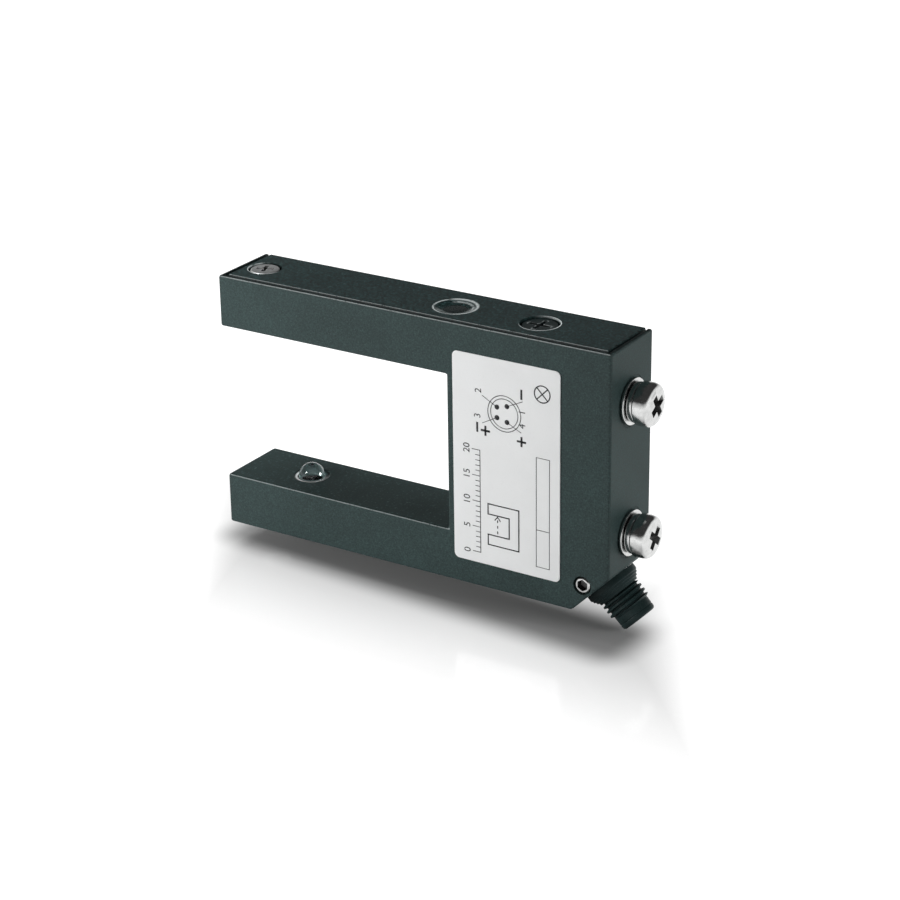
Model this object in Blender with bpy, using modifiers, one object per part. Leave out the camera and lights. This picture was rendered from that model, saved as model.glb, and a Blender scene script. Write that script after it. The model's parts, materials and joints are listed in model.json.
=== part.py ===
# Fork sensor: a through-beam light barrier in a fork-shaped cast housing.
# The housing's two arms point to -X, and an object passes through the slot between them.
# The origin lies on the right-hand mounting face, midway between its two screws, with +Z up.

import math

import bmesh
import bpy
from mathutils import Matrix, Vector

MM = 0.001

# Housing
ARM_LENGTH = 49.8 * MM  # from the tips to the slot's end wall
BODY_LENGTH = 33.2 * MM  # from the slot's end wall to the mounting face
SLOT_WIDTH = 30.0 * MM
ARM_HEIGHT = 10.0 * MM
THICKNESS = 15.0 * MM
CORNER_CUT = 7.6 * MM  # leg of the 45 degree cut that carries the connector
EDGE_ROUND = 0.45 * MM
SIDE_WALL = 1.7 * MM  # front and back walls of the pocket
SLOT_WALL = 1.6 * MM  # wall between the pocket and the slot
END_BLOCK = 10.0 * MM  # solid end of the body, which takes the mounting screws
RIM = 0.7 * MM  # thin rim that frames a cover at the front and at both ends

# Fits
FIT = 0.3 * MM  # clearance round a piece that sits in or on another
SEAL_FIT = 0.2 * MM  # clearance on each side of a gasket
STACK_FIT = 0.1 * MM  # clearance between the washers under a screw head
GLUE = 0.05 * MM  # adhesive under the label

# Covers over the pocket's two open sides, and their gaskets
COVER_THICKNESS = 2.2 * MM
COVER_ROUND = 0.3 * MM
GASKET_THICKNESS = 0.4 * MM
TOE_THICKNESS = 1.0 * MM  # hook that holds a cover's far end
TOE_REACH = 1.2 * MM
TOE_STEM = 1.5 * MM
TOE_WIDTH = 1.5 * MM
TOE_LEDGE = 1.0 * MM  # material of the housing that the hook catches under

# Screws of the covers
COVER_SCREW_INSET = 5.3 * MM
COVER_SCREW_RADIUS = 1.45 * MM
COVER_SCREW_LENGTH = 6.0 * MM
COVER_HEAD_RADIUS = 2.75 * MM
COVER_HEAD_HEIGHT = 1.2 * MM
COVER_RECESS_WIDTH = 0.7 * MM
COVER_RECESS_DEPTH = 0.6 * MM
COUNTERBORE_MARGIN = 0.45 * MM  # room round the head

# Indicator: a light behind a window in the top cover
INDICATOR_SETBACK = 35.8 * MM  # from the mounting face
DISH_RADIUS = 4.4 * MM
DISH_DEPTH = 0.6 * MM
WINDOW_RADIUS = 1.6 * MM
WINDOW_LEDGE = 1.0 * MM  # how far the window's flange reaches out under the cover
WINDOW_FLANGE = 0.6 * MM
INDICATOR_RADIUS = 1.45 * MM
INDICATOR_LEDGE = 0.3 * MM
INDICATOR_FLANGE = 0.8 * MM
INDICATOR_LEAD_ROOM = 1.4 * MM

# Sensitivity adjuster in the top cover
TRIMMER_SETBACK = 18.35 * MM  # from the mounting face
ADJUSTER_RADIUS = 3.25 * MM
ADJUSTER_RECESS = 0.3 * MM  # below the cover's top
ADJUSTER_HOLE_MARGIN = 0.45 * MM
ADJUSTER_LEDGE = 0.4 * MM  # how far its flange reaches out under the cover
ADJUSTER_FLANGE = 0.6 * MM
ADJUSTER_STEM_RADIUS = 1.5 * MM
ADJUSTER_STEM = 1.5 * MM
CROSS_WIDTH = 0.8 * MM
CROSS_DEPTH = 0.7 * MM
CROSS_EDGE = 1.05 * MM  # from the cross's ends to the adjuster's rim
BLADE_THICKNESS = 0.8 * MM
BLADE_WIDTH = 2.4 * MM
BLADE_LENGTH = 1.2 * MM

# Trimmer under the adjuster
TRIMMER_WIDTH = 6.8 * MM
TRIMMER_HEIGHT = 4.6 * MM
TRIMMER_WALL = 0.7 * MM
ROTOR_RADIUS = 2.0 * MM
ROTOR_THICKNESS = 1.8 * MM
MOULD_EDGE = 0.2 * MM  # bevelled edges of moulded components

# Light source and receiver, alike in form, facing each other across the slot
OPTIC_INSET = 14.3 * MM  # from the tips
OPTIC_RADIUS = 2.5 * MM
OPTIC_LEDGE = 0.4 * MM
OPTIC_FLANGE = 1.0 * MM
OPTIC_LEAD_ROOM = 2.0 * MM  # between the flange and the cover's gasket
OPTIC_TIP_ROOM = 1.9 * MM  # between the flange and the solid tip of the arm
OPTIC_DISH_MARGIN = 0.9 * MM  # shallow dish round the lens
OPTIC_DISH_DEPTH = 0.45 * MM
LEAD_RADIUS = 0.25 * MM
LEAD_PITCH = 2.54 * MM

# Circuit boards
BOARD_THICKNESS = 0.8 * MM
BOARD_EDGE = 1.5 * MM  # from the board's edge to its components
EMITTER_BOARD_LENGTH = 16.0 * MM

# Components of the main board: width, height and thickness
CHIP = (8.6 * MM, 3.9 * MM, 1.5 * MM)
CHIP_LEGS = 7
CHIP_LEG = (0.45 * MM, 1.2 * MM, 0.5 * MM)
CHIP_LEG_PITCH = 1.27 * MM
REGULATOR = (6.5 * MM, 3.5 * MM, 1.6 * MM)
TRANSISTOR = (4.5 * MM, 2.5 * MM, 1.5 * MM)
DIODE = (4.3 * MM, 2.6 * MM, 2.2 * MM)
CAPACITOR_RADIUS = 2.5 * MM
CAPACITOR_BASE = 0.3 * MM  # how far the can's base reaches past it
CAPACITOR_BASE_HEIGHT = 0.6 * MM
CAPACITOR_HEIGHT = 5.4 * MM

# Levels of the components, as shares of the housing's height
CAPACITOR_LEVEL = 0.68
CHIP_LEVEL = 0.53
POWER_LEVEL = 0.41
DIODE_LEVEL = 0.33

# Wires inside the housing
WIRE_RADIUS = 0.4 * MM
WIRE_LANE = 1.6 * MM  # from the boards' fronts to the wires that run along them
EMITTER_WIRE_SPREAD = 1.0 * MM
PAD_SPREAD = 2.0 * MM

# Connector on the cut corner, measured along its own axis from the cut face
COLLAR_RADIUS = 5.1 * MM
COLLAR_HEIGHT = 2.7 * MM
COLLAR_STRAIGHT = 0.9 * MM
THREAD_RADIUS = 4.0 * MM
THREAD_LENGTH = 3.5 * MM
NOSE_LENGTH = 2.6 * MM
NOSE_WALL = 0.65 * MM
NOSE_GROOVE = 0.15 * MM
NOSE_GROOVE_SETBACK = 1.4 * MM
SOCKET_RADIUS = 2.7 * MM
SHANK_WALL = 0.6 * MM
SHANK_LENGTH = 4.0 * MM
PASSAGE_RADIUS = 2.25 * MM
INSERT_FRONT = 1.5 * MM
CONTACTS = 4
CONTACT_RADIUS = 0.45 * MM
CONTACT_FIT = 0.2 * MM
CONTACT_SETBACK = 2.8 * MM  # behind the connector's mouth
CONTACT_TAIL = 1.5 * MM

# Set screw that locks the connector
SET_SCREW_RADIUS = 1.5 * MM
SET_SCREW_SETBACK = 2.2 * MM  # behind the cut face, along the connector's axis
SET_SCREW_RECESS = 0.1 * MM
HEX_FLATS = 1.5 * MM
HEX_DEPTH = 1.4 * MM

# Mounting screws with their washers
MOUNT_SPACING = 25.0 * MM
MOUNT_RISE = 1.6 * MM  # of their midpoint above the housing's middle
MOUNT_SCREW_RADIUS = 2.0 * MM
MOUNT_SCREW_LENGTH = 8.0 * MM
MOUNT_HEAD_RADIUS = 3.85 * MM
MOUNT_HEAD_HEIGHT = 3.0 * MM
MOUNT_HEAD_SIDE = 1.7 * MM
MOUNT_RECESS_WIDTH = 1.0 * MM
MOUNT_RECESS_DEPTH = 1.6 * MM
RECESS_SHARE = 0.6  # of a cross recess's length in the head's diameter
WASHER_RADIUS = 4.25 * MM
WASHER_THICKNESS = 0.8 * MM
WASHER_SEAT_MARGIN = 0.45 * MM  # shallow spot face round each washer
WASHER_SEAT_DEPTH = 0.1 * MM
SPRING_RADIUS = 3.65 * MM
SPRING_THICKNESS = 1.0 * MM
SPRING_GAP = 0.9 * MM

# Label on the front face
LABEL_THICKNESS = 0.15 * MM
LABEL_ROUND = 1.0 * MM
LABEL_FROM_SLOT = 1.4 * MM
LABEL_FROM_RIGHT = 9.8 * MM
LABEL_FROM_BOTTOM = 4.9 * MM
LABEL_FROM_TOP = 5.0 * MM

# Places that follow from the sizes
HEIGHT = SLOT_WIDTH + 2 * ARM_HEIGHT
LEFT = -ARM_LENGTH - BODY_LENGTH
RIGHT = 0.0
FRONT = -THICKNESS / 2
BACK = THICKNESS / 2
BOTTOM = -HEIGHT / 2 - MOUNT_RISE
TOP = BOTTOM + HEIGHT
LOWER_ARM_TOP = BOTTOM + ARM_HEIGHT
UPPER_ARM_BOTTOM = TOP - ARM_HEIGHT
SLOT_END = -BODY_LENGTH
SEAT_DEPTH = COVER_THICKNESS + GASKET_THICKNESS + 2 * SEAL_FIT
OPTIC_FLANGE_RADIUS = OPTIC_RADIUS + OPTIC_LEDGE
OPTIC_BARREL = ARM_HEIGHT - SEAT_DEPTH - OPTIC_LEAD_ROOM - OPTIC_FLANGE
TIP_BLOCK = OPTIC_INSET - OPTIC_FLANGE_RADIUS - OPTIC_TIP_ROOM
POCKET_LEFT = SLOT_END + SLOT_WALL
POCKET_RIGHT = -END_BLOCK
ARM_POCKET_LEFT = LEFT + TIP_BLOCK
BOTTOM_SEAT_END = -CORNER_CUT - 2 * RIM
TOE_FRONT = FRONT + SIDE_WALL + FIT
BOARD_FRONT = BACK - SIDE_WALL - FIT - BOARD_THICKNESS
SOLDER_FACE = BOARD_FRONT - FIT
ADJUSTER_HOLE_RADIUS = ADJUSTER_RADIUS + ADJUSTER_HOLE_MARGIN
STEM_END = TOP - COVER_THICKNESS - FIT - ADJUSTER_FLANGE - ADJUSTER_STEM
SHANK_RADIUS = SOCKET_RADIUS + SHANK_WALL
NOSE_RADIUS = SOCKET_RADIUS + NOSE_WALL
THREAD_END = COLLAR_HEIGHT + THREAD_LENGTH
NOSE_END = THREAD_END + NOSE_LENGTH
OVER = 1.0 * MM  # how far a cutter reaches past the face it opens
MERGE = 0.001 * MM
FLAT = 0.01  # radians between faces that count as one
CONNECTOR_PLACE = Matrix.Translation((-CORNER_CUT / 2, 0, BOTTOM + CORNER_CUT / 2))
CONNECTOR_PLACE = CONNECTOR_PLACE @ Matrix.Rotation(math.radians(135), 4, "Y")
RIGHTWARDS = Matrix.Rotation(math.radians(90), 4, "Y")
FORWARDS = Matrix.Rotation(math.radians(90), 4, "X")
FLIPPED = Matrix.Rotation(math.radians(180), 4, "X")

PARTS = "fork_sensor"
CUTTERS = "cutters"
FRAME = "mounting_face"


def clear_scene():
    for item in list(bpy.data.objects):
        bpy.data.objects.remove(item, do_unlink=True)


def add_collections():
    """The parts' collection, with the empty that carries them, and the cutters' one."""
    for name in (PARTS, CUTTERS):
        collection = bpy.data.collections.new(name)
        bpy.context.scene.collection.children.link(collection)
    collection.hide_render = True
    bpy.data.collections[PARTS].objects.link(bpy.data.objects.new(FRAME, None))


def add_material(name, colour, roughness, metallic=0.0):
    made = bpy.data.materials.new(name)
    made.use_nodes = True
    shader = made.node_tree.nodes["Principled BSDF"]
    shader.inputs["Base Color"].default_value = (*colour, 1)
    shader.inputs["Roughness"].default_value = roughness
    shader.inputs["Metallic"].default_value = metallic


def add_materials():
    add_material("painted_casting", (0.035, 0.045, 0.045), 0.55)
    add_material("painted_cover", (0.022, 0.03, 0.03), 0.5)
    add_material("black_rubber", (0.02, 0.02, 0.02), 0.8)
    add_material("nickel_plated_steel", (0.72, 0.71, 0.69), 0.22, 1.0)
    add_material("clear_epoxy", (0.85, 0.9, 0.92), 0.05)
    add_material("smoked_window", (0.03, 0.03, 0.035), 0.15)
    add_material("black_plastic", (0.015, 0.016, 0.017), 0.4)
    add_material("blue_plastic", (0.03, 0.12, 0.45), 0.45)
    add_material("brass", (0.75, 0.58, 0.28), 0.3, 1.0)
    add_material("tinned_wire", (0.7, 0.7, 0.72), 0.3, 1.0)
    add_material("green_circuit_board", (0.02, 0.16, 0.07), 0.5)
    add_material("white_label", (0.8, 0.8, 0.8), 0.4)
    add_material("red_insulation", (0.5, 0.03, 0.02), 0.5)
    add_material("black_insulation", (0.02, 0.02, 0.02), 0.5)
    add_material("aluminium_can", (0.75, 0.76, 0.77), 0.3, 1.0)


def add_part(name, data, material, place=Matrix()):
    made = bpy.data.objects.new(name, data)
    bpy.data.collections[PARTS].objects.link(made)
    data.materials.append(bpy.data.materials[material])
    made.matrix_world = place
    made.parent = bpy.data.objects[FRAME]
    return made


def add_cutter(name, mesh, place=Matrix()):
    made = bpy.data.objects.new(name, mesh)
    bpy.data.collections[CUTTERS].objects.link(made)
    made.matrix_world = place
    made.hide_render = True
    made.display_type = "WIRE"
    return made


def mesh_from(builder, name):
    """A mesh whose geometry the given function adds to an empty one."""
    shape = bmesh.new()
    builder(shape)
    mesh = bpy.data.meshes.new(name)
    shape.to_mesh(mesh)
    shape.free()
    return mesh


def box_mesh(name, low, high):
    low, high = Vector(low), Vector(high)
    size = Matrix.Diagonal((*(high - low), 1))
    place = Matrix.Translation((low + high) / 2) @ size
    return mesh_from(lambda shape: bmesh.ops.create_cube(shape, size=1, matrix=place), name)


def cylinder_mesh(name, radius, low, high, segments=32, end_radius=None):
    """A cylinder or cone on the Z axis, from height low to height high."""
    place = Matrix.Translation((0, 0, (low + high) / 2))

    def build(shape):
        bmesh.ops.create_cone(
            shape,
            cap_ends=True,
            segments=segments,
            radius1=radius,
            radius2=radius if end_radius is None else end_radius,
            depth=high - low,
            matrix=place,
        )

    return mesh_from(build, name)


def cut(target, name, mesh, place=Matrix(), operation="DIFFERENCE"):
    """Takes a mesh away from a piece, or adds it, with an exact boolean."""
    change = target.modifiers.new(name, "BOOLEAN")
    change.operation = operation
    change.solver = "EXACT"
    change.object = add_cutter(name, mesh, place)


def join(target, name, mesh, place=Matrix()):
    cut(target, name, mesh, place, "UNION")


def round_edges(target, width, segments=2, angle=40):
    bevel = target.modifiers.new("rounded edges", "BEVEL")
    bevel.width = width
    bevel.segments = segments
    bevel.limit_method = "ANGLE"
    bevel.angle_limit = math.radians(angle)


def profile_mesh(name, profile, closed):
    edges = [(i, i + 1) for i in range(len(profile) - 1)]
    if closed:
        edges.append((len(profile) - 1, 0))
    mesh = bpy.data.meshes.new(name)
    mesh.from_pydata([(radius, 0, height) for radius, height in profile], edges, [])
    return mesh


def turn(made, steps):
    """Turns a profile about the object's own Z axis."""
    screw = made.modifiers.new("turned", "SCREW")
    screw.steps = screw.render_steps = steps
    screw.use_merge_vertices = True
    screw.merge_threshold = MERGE
    screw.use_smooth_shade = True


def turned(name, profile, material, place=Matrix(), steps=32, closed=False):
    """A turned piece on its own Z axis. The profile holds (radius, height) pairs, from the
    top down along the outside, and a closed one goes on up along the inside."""
    made = add_part(name, profile_mesh(name, profile, closed), material, place)
    turn(made, steps)
    return made


def evaluated_mesh(made):
    """The object's final mesh. The object itself is removed."""
    bpy.context.view_layer.update()
    graph = bpy.context.evaluated_depsgraph_get()
    mesh = bpy.data.meshes.new_from_object(made.evaluated_get(graph))
    bpy.data.objects.remove(made)
    return mesh


def turned_mesh(name, profile, steps=32):
    """The same turned shape as a mesh, for a cut."""
    made = add_cutter(name, profile_mesh(name, profile, False))
    turn(made, steps)
    return evaluated_mesh(made)


def plate_mesh(name, outline, thickness):
    """A flat outline in the XZ plane, given as (x, z) pairs and thick along Y about zero."""
    curve = bpy.data.curves.new(name, "CURVE")
    curve.dimensions = "2D"
    curve.fill_mode = "BOTH"
    curve.extrude = thickness / 2
    spline = curve.splines.new("POLY")
    spline.points.add(len(outline) - 1)
    for point, (x, z) in zip(spline.points, outline):
        point.co = (x, z, 0, 1)
    spline.use_cyclic_u = True
    made = bpy.data.objects.new(name, curve)
    bpy.data.collections[CUTTERS].objects.link(made)
    mesh = evaluated_mesh(made)
    bpy.data.curves.remove(curve)
    shape = bmesh.new()
    shape.from_mesh(mesh)
    bmesh.ops.remove_doubles(shape, verts=shape.verts, dist=MERGE)
    bmesh.ops.dissolve_limit(shape, angle_limit=FLAT, verts=shape.verts, edges=shape.edges)
    bmesh.ops.rotate(shape, verts=shape.verts, matrix=FORWARDS.to_3x3(), cent=(0, 0, 0))
    bmesh.ops.recalc_face_normals(shape, faces=shape.faces)
    shape.to_mesh(mesh)
    shape.free()
    return mesh


def arc(centre, radius, start, end, steps):
    """Points on a circle, or on an ellipse where radius is a pair, from start to end degrees."""
    across, along = radius if isinstance(radius, tuple) else (radius, radius)
    angles = [math.radians(start + (end - start) * i / steps) for i in range(steps + 1)]
    return [(centre[0] + across * math.cos(a), centre[1] + along * math.sin(a)) for a in angles]


def smooth_path(points, steps=4):
    """Points of a curve through the given ones, which leaves each along the line of its neighbours."""
    points = [Vector(point) for point in points]
    ends = [points[0], *points, points[-1]]
    ways = [(after - before).normalized() for before, after in zip(ends, ends[2:])]
    path = []
    for start, end, leaving, arriving in zip(points, points[1:], ways, ways[1:]):
        span = (end - start).length
        for i in range(steps):
            t = i / steps
            swing = span * t * (1 - t) * ((1 - t) * leaving - t * arriving)
            path.append(start.lerp(end, t * t * (3 - 2 * t)) + swing)
    path.append(points[-1])
    return path


def wire(name, points, radius, material, steps=4):
    curve = bpy.data.curves.new(name, "CURVE")
    curve.dimensions = "3D"
    curve.bevel_depth = radius
    curve.bevel_resolution = 2
    curve.use_fill_caps = True
    path = smooth_path(points, steps)
    spline = curve.splines.new("POLY")
    spline.points.add(len(path) - 1)
    for point, place in zip(spline.points, path):
        point.co = (*place, 1)
    spline.use_smooth = True
    return add_part(name, curve, material)


def cut_cross(target, name, width, length, depth, place, taper):
    """A cross recess in a face at the local zero. Its floor is as long as taper says."""
    for index, angle in enumerate((0, 90)):
        low = (-length / 2, -width / 2, -depth)
        mesh = box_mesh(f"{name}_{index + 1}", low, (length / 2, width / 2, OVER))
        for vertex in mesh.vertices:
            if vertex.co.z < 0:
                vertex.co.x *= taper
        turned_place = place @ Matrix.Rotation(math.radians(angle), 4, "Z")
        cut(target, f"{name}_{index + 1}", mesh, turned_place)


# Housing

def housing_outline():
    return [
        (LEFT, TOP),
        (RIGHT, TOP),
        (RIGHT, BOTTOM + CORNER_CUT),
        (RIGHT - CORNER_CUT, BOTTOM),
        (LEFT, BOTTOM),
        (LEFT, LOWER_ARM_TOP),
        (SLOT_END, LOWER_ARM_TOP),
        (SLOT_END, UPPER_ARM_BOTTOM),
        (LEFT, UPPER_ARM_BOTTOM),
    ]


def pocket_outline():
    """The hollow for the electronics: open at the top and at the bottom of the body."""
    upper_floor = UPPER_ARM_BOTTOM + SLOT_WALL
    lower_floor = LOWER_ARM_TOP - SLOT_WALL
    return [
        (ARM_POCKET_LEFT, TOP + OVER),
        (POCKET_RIGHT, TOP + OVER),
        (POCKET_RIGHT, BOTTOM - OVER),
        (ARM_POCKET_LEFT, BOTTOM - OVER),
        (ARM_POCKET_LEFT, lower_floor),
        (POCKET_LEFT, lower_floor),
        (POCKET_LEFT, upper_floor),
        (ARM_POCKET_LEFT, upper_floor),
    ]


def cut_seat(housing, name, side, seat_end):
    """The step that takes a cover. side is 1 at the top and -1 at the bottom."""
    face = TOP if side > 0 else BOTTOM

    def span(depth):
        return sorted((face - side * depth, face + side * OVER))

    low, high = span(SEAT_DEPTH)
    inner = box_mesh(f"{name}_seat", (LEFT + RIM, FRONT + RIM, low), (seat_end, BACK - RIM, high))
    cut(housing, f"{name}_seat", inner)
    low, high = span(COVER_THICKNESS + FIT)
    # The cover runs out over the back wall, so the step there is open to the back.
    outer = box_mesh(f"{name}_run_out", (LEFT + RIM, 0, low), (seat_end, BACK + OVER, high))
    cut(housing, f"{name}_run_out", outer)


def cut_toe_slot(housing, name, side):
    face = TOP if side > 0 else BOTTOM
    near = face - side * (SEAT_DEPTH + TOE_LEDGE)
    far = near - side * (TOE_THICKNESS + 2 * FIT)
    low, high = sorted((near, far))
    start = (POCKET_RIGHT - OVER, TOE_FRONT - FIT, low)
    end = (POCKET_RIGHT + TOE_REACH + FIT, TOE_FRONT + TOE_WIDTH + FIT, high)
    cut(housing, f"{name}_toe_slot", box_mesh(f"{name}_toe_slot", start, end))


def cut_optic_hole(housing, name, face, facing):
    """A hole for a lens, with a shallow dish round it. facing is the slot's side, 1 for up."""
    hole = OPTIC_RADIUS + FIT
    profile = [
        (0, OVER),
        (hole + OPTIC_DISH_MARGIN * (1 + OVER / OPTIC_DISH_DEPTH), OVER),
        (hole, -OPTIC_DISH_DEPTH),
        (hole, -SLOT_WALL - OVER),
        (0, -SLOT_WALL - OVER),
    ]
    place = Matrix.Translation((LEFT + OPTIC_INSET, 0, face))
    cut(housing, name, turned_mesh(name, profile), place if facing > 0 else place @ FLIPPED)


def cut_screw_holes(housing):
    depth = COVER_HEAD_HEIGHT + COVER_SCREW_LENGTH + 2 * FIT
    hole = COVER_SCREW_RADIUS + FIT
    for name, face, side in (("top", TOP, 1), ("bottom", BOTTOM, -1)):
        place = Matrix.Translation((LEFT + COVER_SCREW_INSET, 0, face))
        mesh = cylinder_mesh(f"{name}_cover_thread", hole, -depth, OVER, 24)
        cut(housing, f"{name}_cover_thread", mesh, place if side > 0 else place @ FLIPPED)
    stack = WASHER_THICKNESS + SPRING_THICKNESS + 3 * STACK_FIT
    mount_depth = MOUNT_SCREW_LENGTH - stack + 2 * FIT
    for name, side in (("upper", 1), ("lower", -1)):
        mesh = cylinder_mesh(f"{name}_mount_thread", MOUNT_SCREW_RADIUS + FIT, -mount_depth, OVER, 24)
        place = Matrix.Translation((RIGHT, 0, side * MOUNT_SPACING / 2)) @ RIGHTWARDS
        cut(housing, f"{name}_mount_thread", mesh, place)
        radius = WASHER_RADIUS + WASHER_SEAT_MARGIN
        seat = cylinder_mesh(f"{name}_washer_seat", radius, -WASHER_SEAT_DEPTH, OVER, 40)
        cut(housing, f"{name}_washer_seat", seat, place)


def cut_connector_bore(housing):
    floor = SHANK_LENGTH + FIT
    through = END_BLOCK * math.sqrt(2)
    profile = [
        (0, OVER),
        (SHANK_RADIUS + FIT, OVER),
        (SHANK_RADIUS + FIT, -floor),
        (PASSAGE_RADIUS, -floor),
        (PASSAGE_RADIUS, -through),
        (0, -through),
    ]
    cut(housing, "connector_bore", turned_mesh("connector_bore", profile), CONNECTOR_PLACE)
    mesh = cylinder_mesh("set_screw_thread", SET_SCREW_RADIUS + FIT, 0, THICKNESS / 2 + OVER, 24)
    cut(housing, "set_screw_thread", mesh, set_screw_place())


def set_screw_place():
    """On the connector's axis behind the cut face, with local +Z to the front."""
    centre = CONNECTOR_PLACE @ Vector((0, 0, -SET_SCREW_SETBACK))
    return Matrix.Translation(centre) @ FORWARDS


def make_housing():
    mesh = plate_mesh("housing", housing_outline(), THICKNESS)
    housing = add_part("housing", mesh, "painted_casting")
    round_edges(housing, EDGE_ROUND)
    pocket = plate_mesh("pocket", pocket_outline(), THICKNESS - 2 * SIDE_WALL)
    cut(housing, "pocket", pocket)
    cut_seat(housing, "top", 1, RIGHT - RIM)
    cut_seat(housing, "bottom", -1, BOTTOM_SEAT_END)
    cut_toe_slot(housing, "top", 1)
    cut_toe_slot(housing, "bottom", -1)
    cut_optic_hole(housing, "emitter_hole", LOWER_ARM_TOP, 1)
    cut_optic_hole(housing, "receiver_hole", UPPER_ARM_BOTTOM, -1)
    cut_screw_holes(housing)
    cut_connector_bore(housing)


# Covers, gaskets and their screws

def toe_outline(side):
    """The hook under a cover: a stem down into the pocket and a toe towards the body's end."""
    face = TOP if side > 0 else BOTTOM
    root = face - side * (COVER_THICKNESS - FIT)
    upper = face - side * (SEAT_DEPTH + TOE_LEDGE + FIT)
    lower = upper - side * TOE_THICKNESS
    stem_right = POCKET_RIGHT - FIT
    stem_left = stem_right - TOE_STEM
    return [
        (stem_left, root),
        (stem_right, root),
        (stem_right, upper),
        (POCKET_RIGHT + TOE_REACH, upper),
        (POCKET_RIGHT + TOE_REACH, lower),
        (stem_left, lower),
    ]


def make_cover(name, side, seat_end):
    face = TOP if side > 0 else BOTTOM
    low, high = sorted((face, face - side * COVER_THICKNESS))
    corner = (LEFT + RIM + FIT, FRONT + RIM + FIT, low)
    cover = add_part(name, box_mesh(name, corner, (seat_end - FIT, BACK, high)), "painted_cover")
    round_edges(cover, COVER_ROUND)
    hook = plate_mesh(f"{name}_toe", toe_outline(side), TOE_WIDTH)
    join(cover, f"{name}_toe", hook, Matrix.Translation((0, TOE_FRONT + TOE_WIDTH / 2, 0)))
    bore = COVER_HEAD_RADIUS + COUNTERBORE_MARGIN
    depth = COVER_HEAD_HEIGHT + FIT
    profile = [
        (0, OVER),
        (bore, OVER),
        (bore, -depth),
        (COVER_SCREW_RADIUS + FIT, -depth),
        (COVER_SCREW_RADIUS + FIT, -COVER_THICKNESS - OVER),
        (0, -COVER_THICKNESS - OVER),
    ]
    place = Matrix.Translation((LEFT + COVER_SCREW_INSET, 0, face))
    if side < 0:
        place = place @ FLIPPED
    cut(cover, f"{name}_counterbore", turned_mesh(f"{name}_counterbore", profile), place)
    return cover


def cut_window_dish(cover):
    """A dished hole for the indicator: its wall runs down in a soft S to the window."""
    hole = WINDOW_RADIUS + FIT
    middle = (DISH_RADIUS + hole) / 2
    half = DISH_DEPTH / 2
    width = middle - hole
    shoulder = arc((DISH_RADIUS, -half), (width, half), 90, 180, 4)
    foot = arc((hole, -half), (width, half), 0, -90, 4)
    profile = [(0, OVER), (DISH_RADIUS, OVER), *shoulder, *foot[1:]]
    profile += [(hole, -COVER_THICKNESS - OVER), (0, -COVER_THICKNESS - OVER)]
    place = Matrix.Translation((-INDICATOR_SETBACK, 0, TOP))
    cut(cover, "window_dish", turned_mesh("window_dish", profile, 40), place)


def cut_adjuster_hole(cover):
    low = -COVER_THICKNESS - OVER
    mesh = cylinder_mesh("adjuster_hole", ADJUSTER_HOLE_RADIUS, low, OVER, 40)
    cut(cover, "adjuster_hole", mesh, Matrix.Translation((-TRIMMER_SETBACK, 0, TOP)))


def make_gasket(name, side, seat_end):
    """A flat ring on the step, with an eye for the cover's screw."""
    face = TOP if side > 0 else BOTTOM
    start = face - side * (COVER_THICKNESS + SEAL_FIT)
    low, high = sorted((start, start - side * GASKET_THICKNESS))
    corner = (LEFT + RIM + FIT, FRONT + RIM + FIT, low)
    ring = box_mesh(name, corner, (seat_end - FIT, BACK - RIM - FIT, high))
    gasket = add_part(name, ring, "black_rubber")
    corner = (ARM_POCKET_LEFT, FRONT + SIDE_WALL, low - OVER)
    opening = box_mesh(f"{name}_opening", corner, (POCKET_RIGHT, BACK - SIDE_WALL, high + OVER))
    cut(gasket, f"{name}_opening", opening)
    eye = cylinder_mesh(f"{name}_eye", COVER_SCREW_RADIUS + FIT, -OVER, OVER, 24)
    cut(gasket, f"{name}_eye", eye, Matrix.Translation((LEFT + COVER_SCREW_INSET, 0, (low + high) / 2)))


def make_cover_screw(name, side):
    face = TOP if side > 0 else BOTTOM
    round_off = COVER_HEAD_HEIGHT / 4
    profile = [
        (0, 0),
        (COVER_HEAD_RADIUS - round_off, 0),
        (COVER_HEAD_RADIUS, -round_off),
        (COVER_HEAD_RADIUS, -COVER_HEAD_HEIGHT),
        (COVER_SCREW_RADIUS, -COVER_HEAD_HEIGHT),
        (COVER_SCREW_RADIUS, -COVER_HEAD_HEIGHT - COVER_SCREW_LENGTH + round_off),
        (COVER_SCREW_RADIUS - round_off, -COVER_HEAD_HEIGHT - COVER_SCREW_LENGTH),
        (0, -COVER_HEAD_HEIGHT - COVER_SCREW_LENGTH),
    ]
    place = Matrix.Translation((LEFT + COVER_SCREW_INSET, 0, face))
    if side < 0:
        place = place @ FLIPPED
    screw = turned(name, profile, "nickel_plated_steel", place, 24)
    length = RECESS_SHARE * 2 * COVER_HEAD_RADIUS
    depth = COVER_RECESS_DEPTH
    cut_cross(screw, f"{name}_recess", COVER_RECESS_WIDTH, length, depth, place, 0.7)


# Indicator

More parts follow.
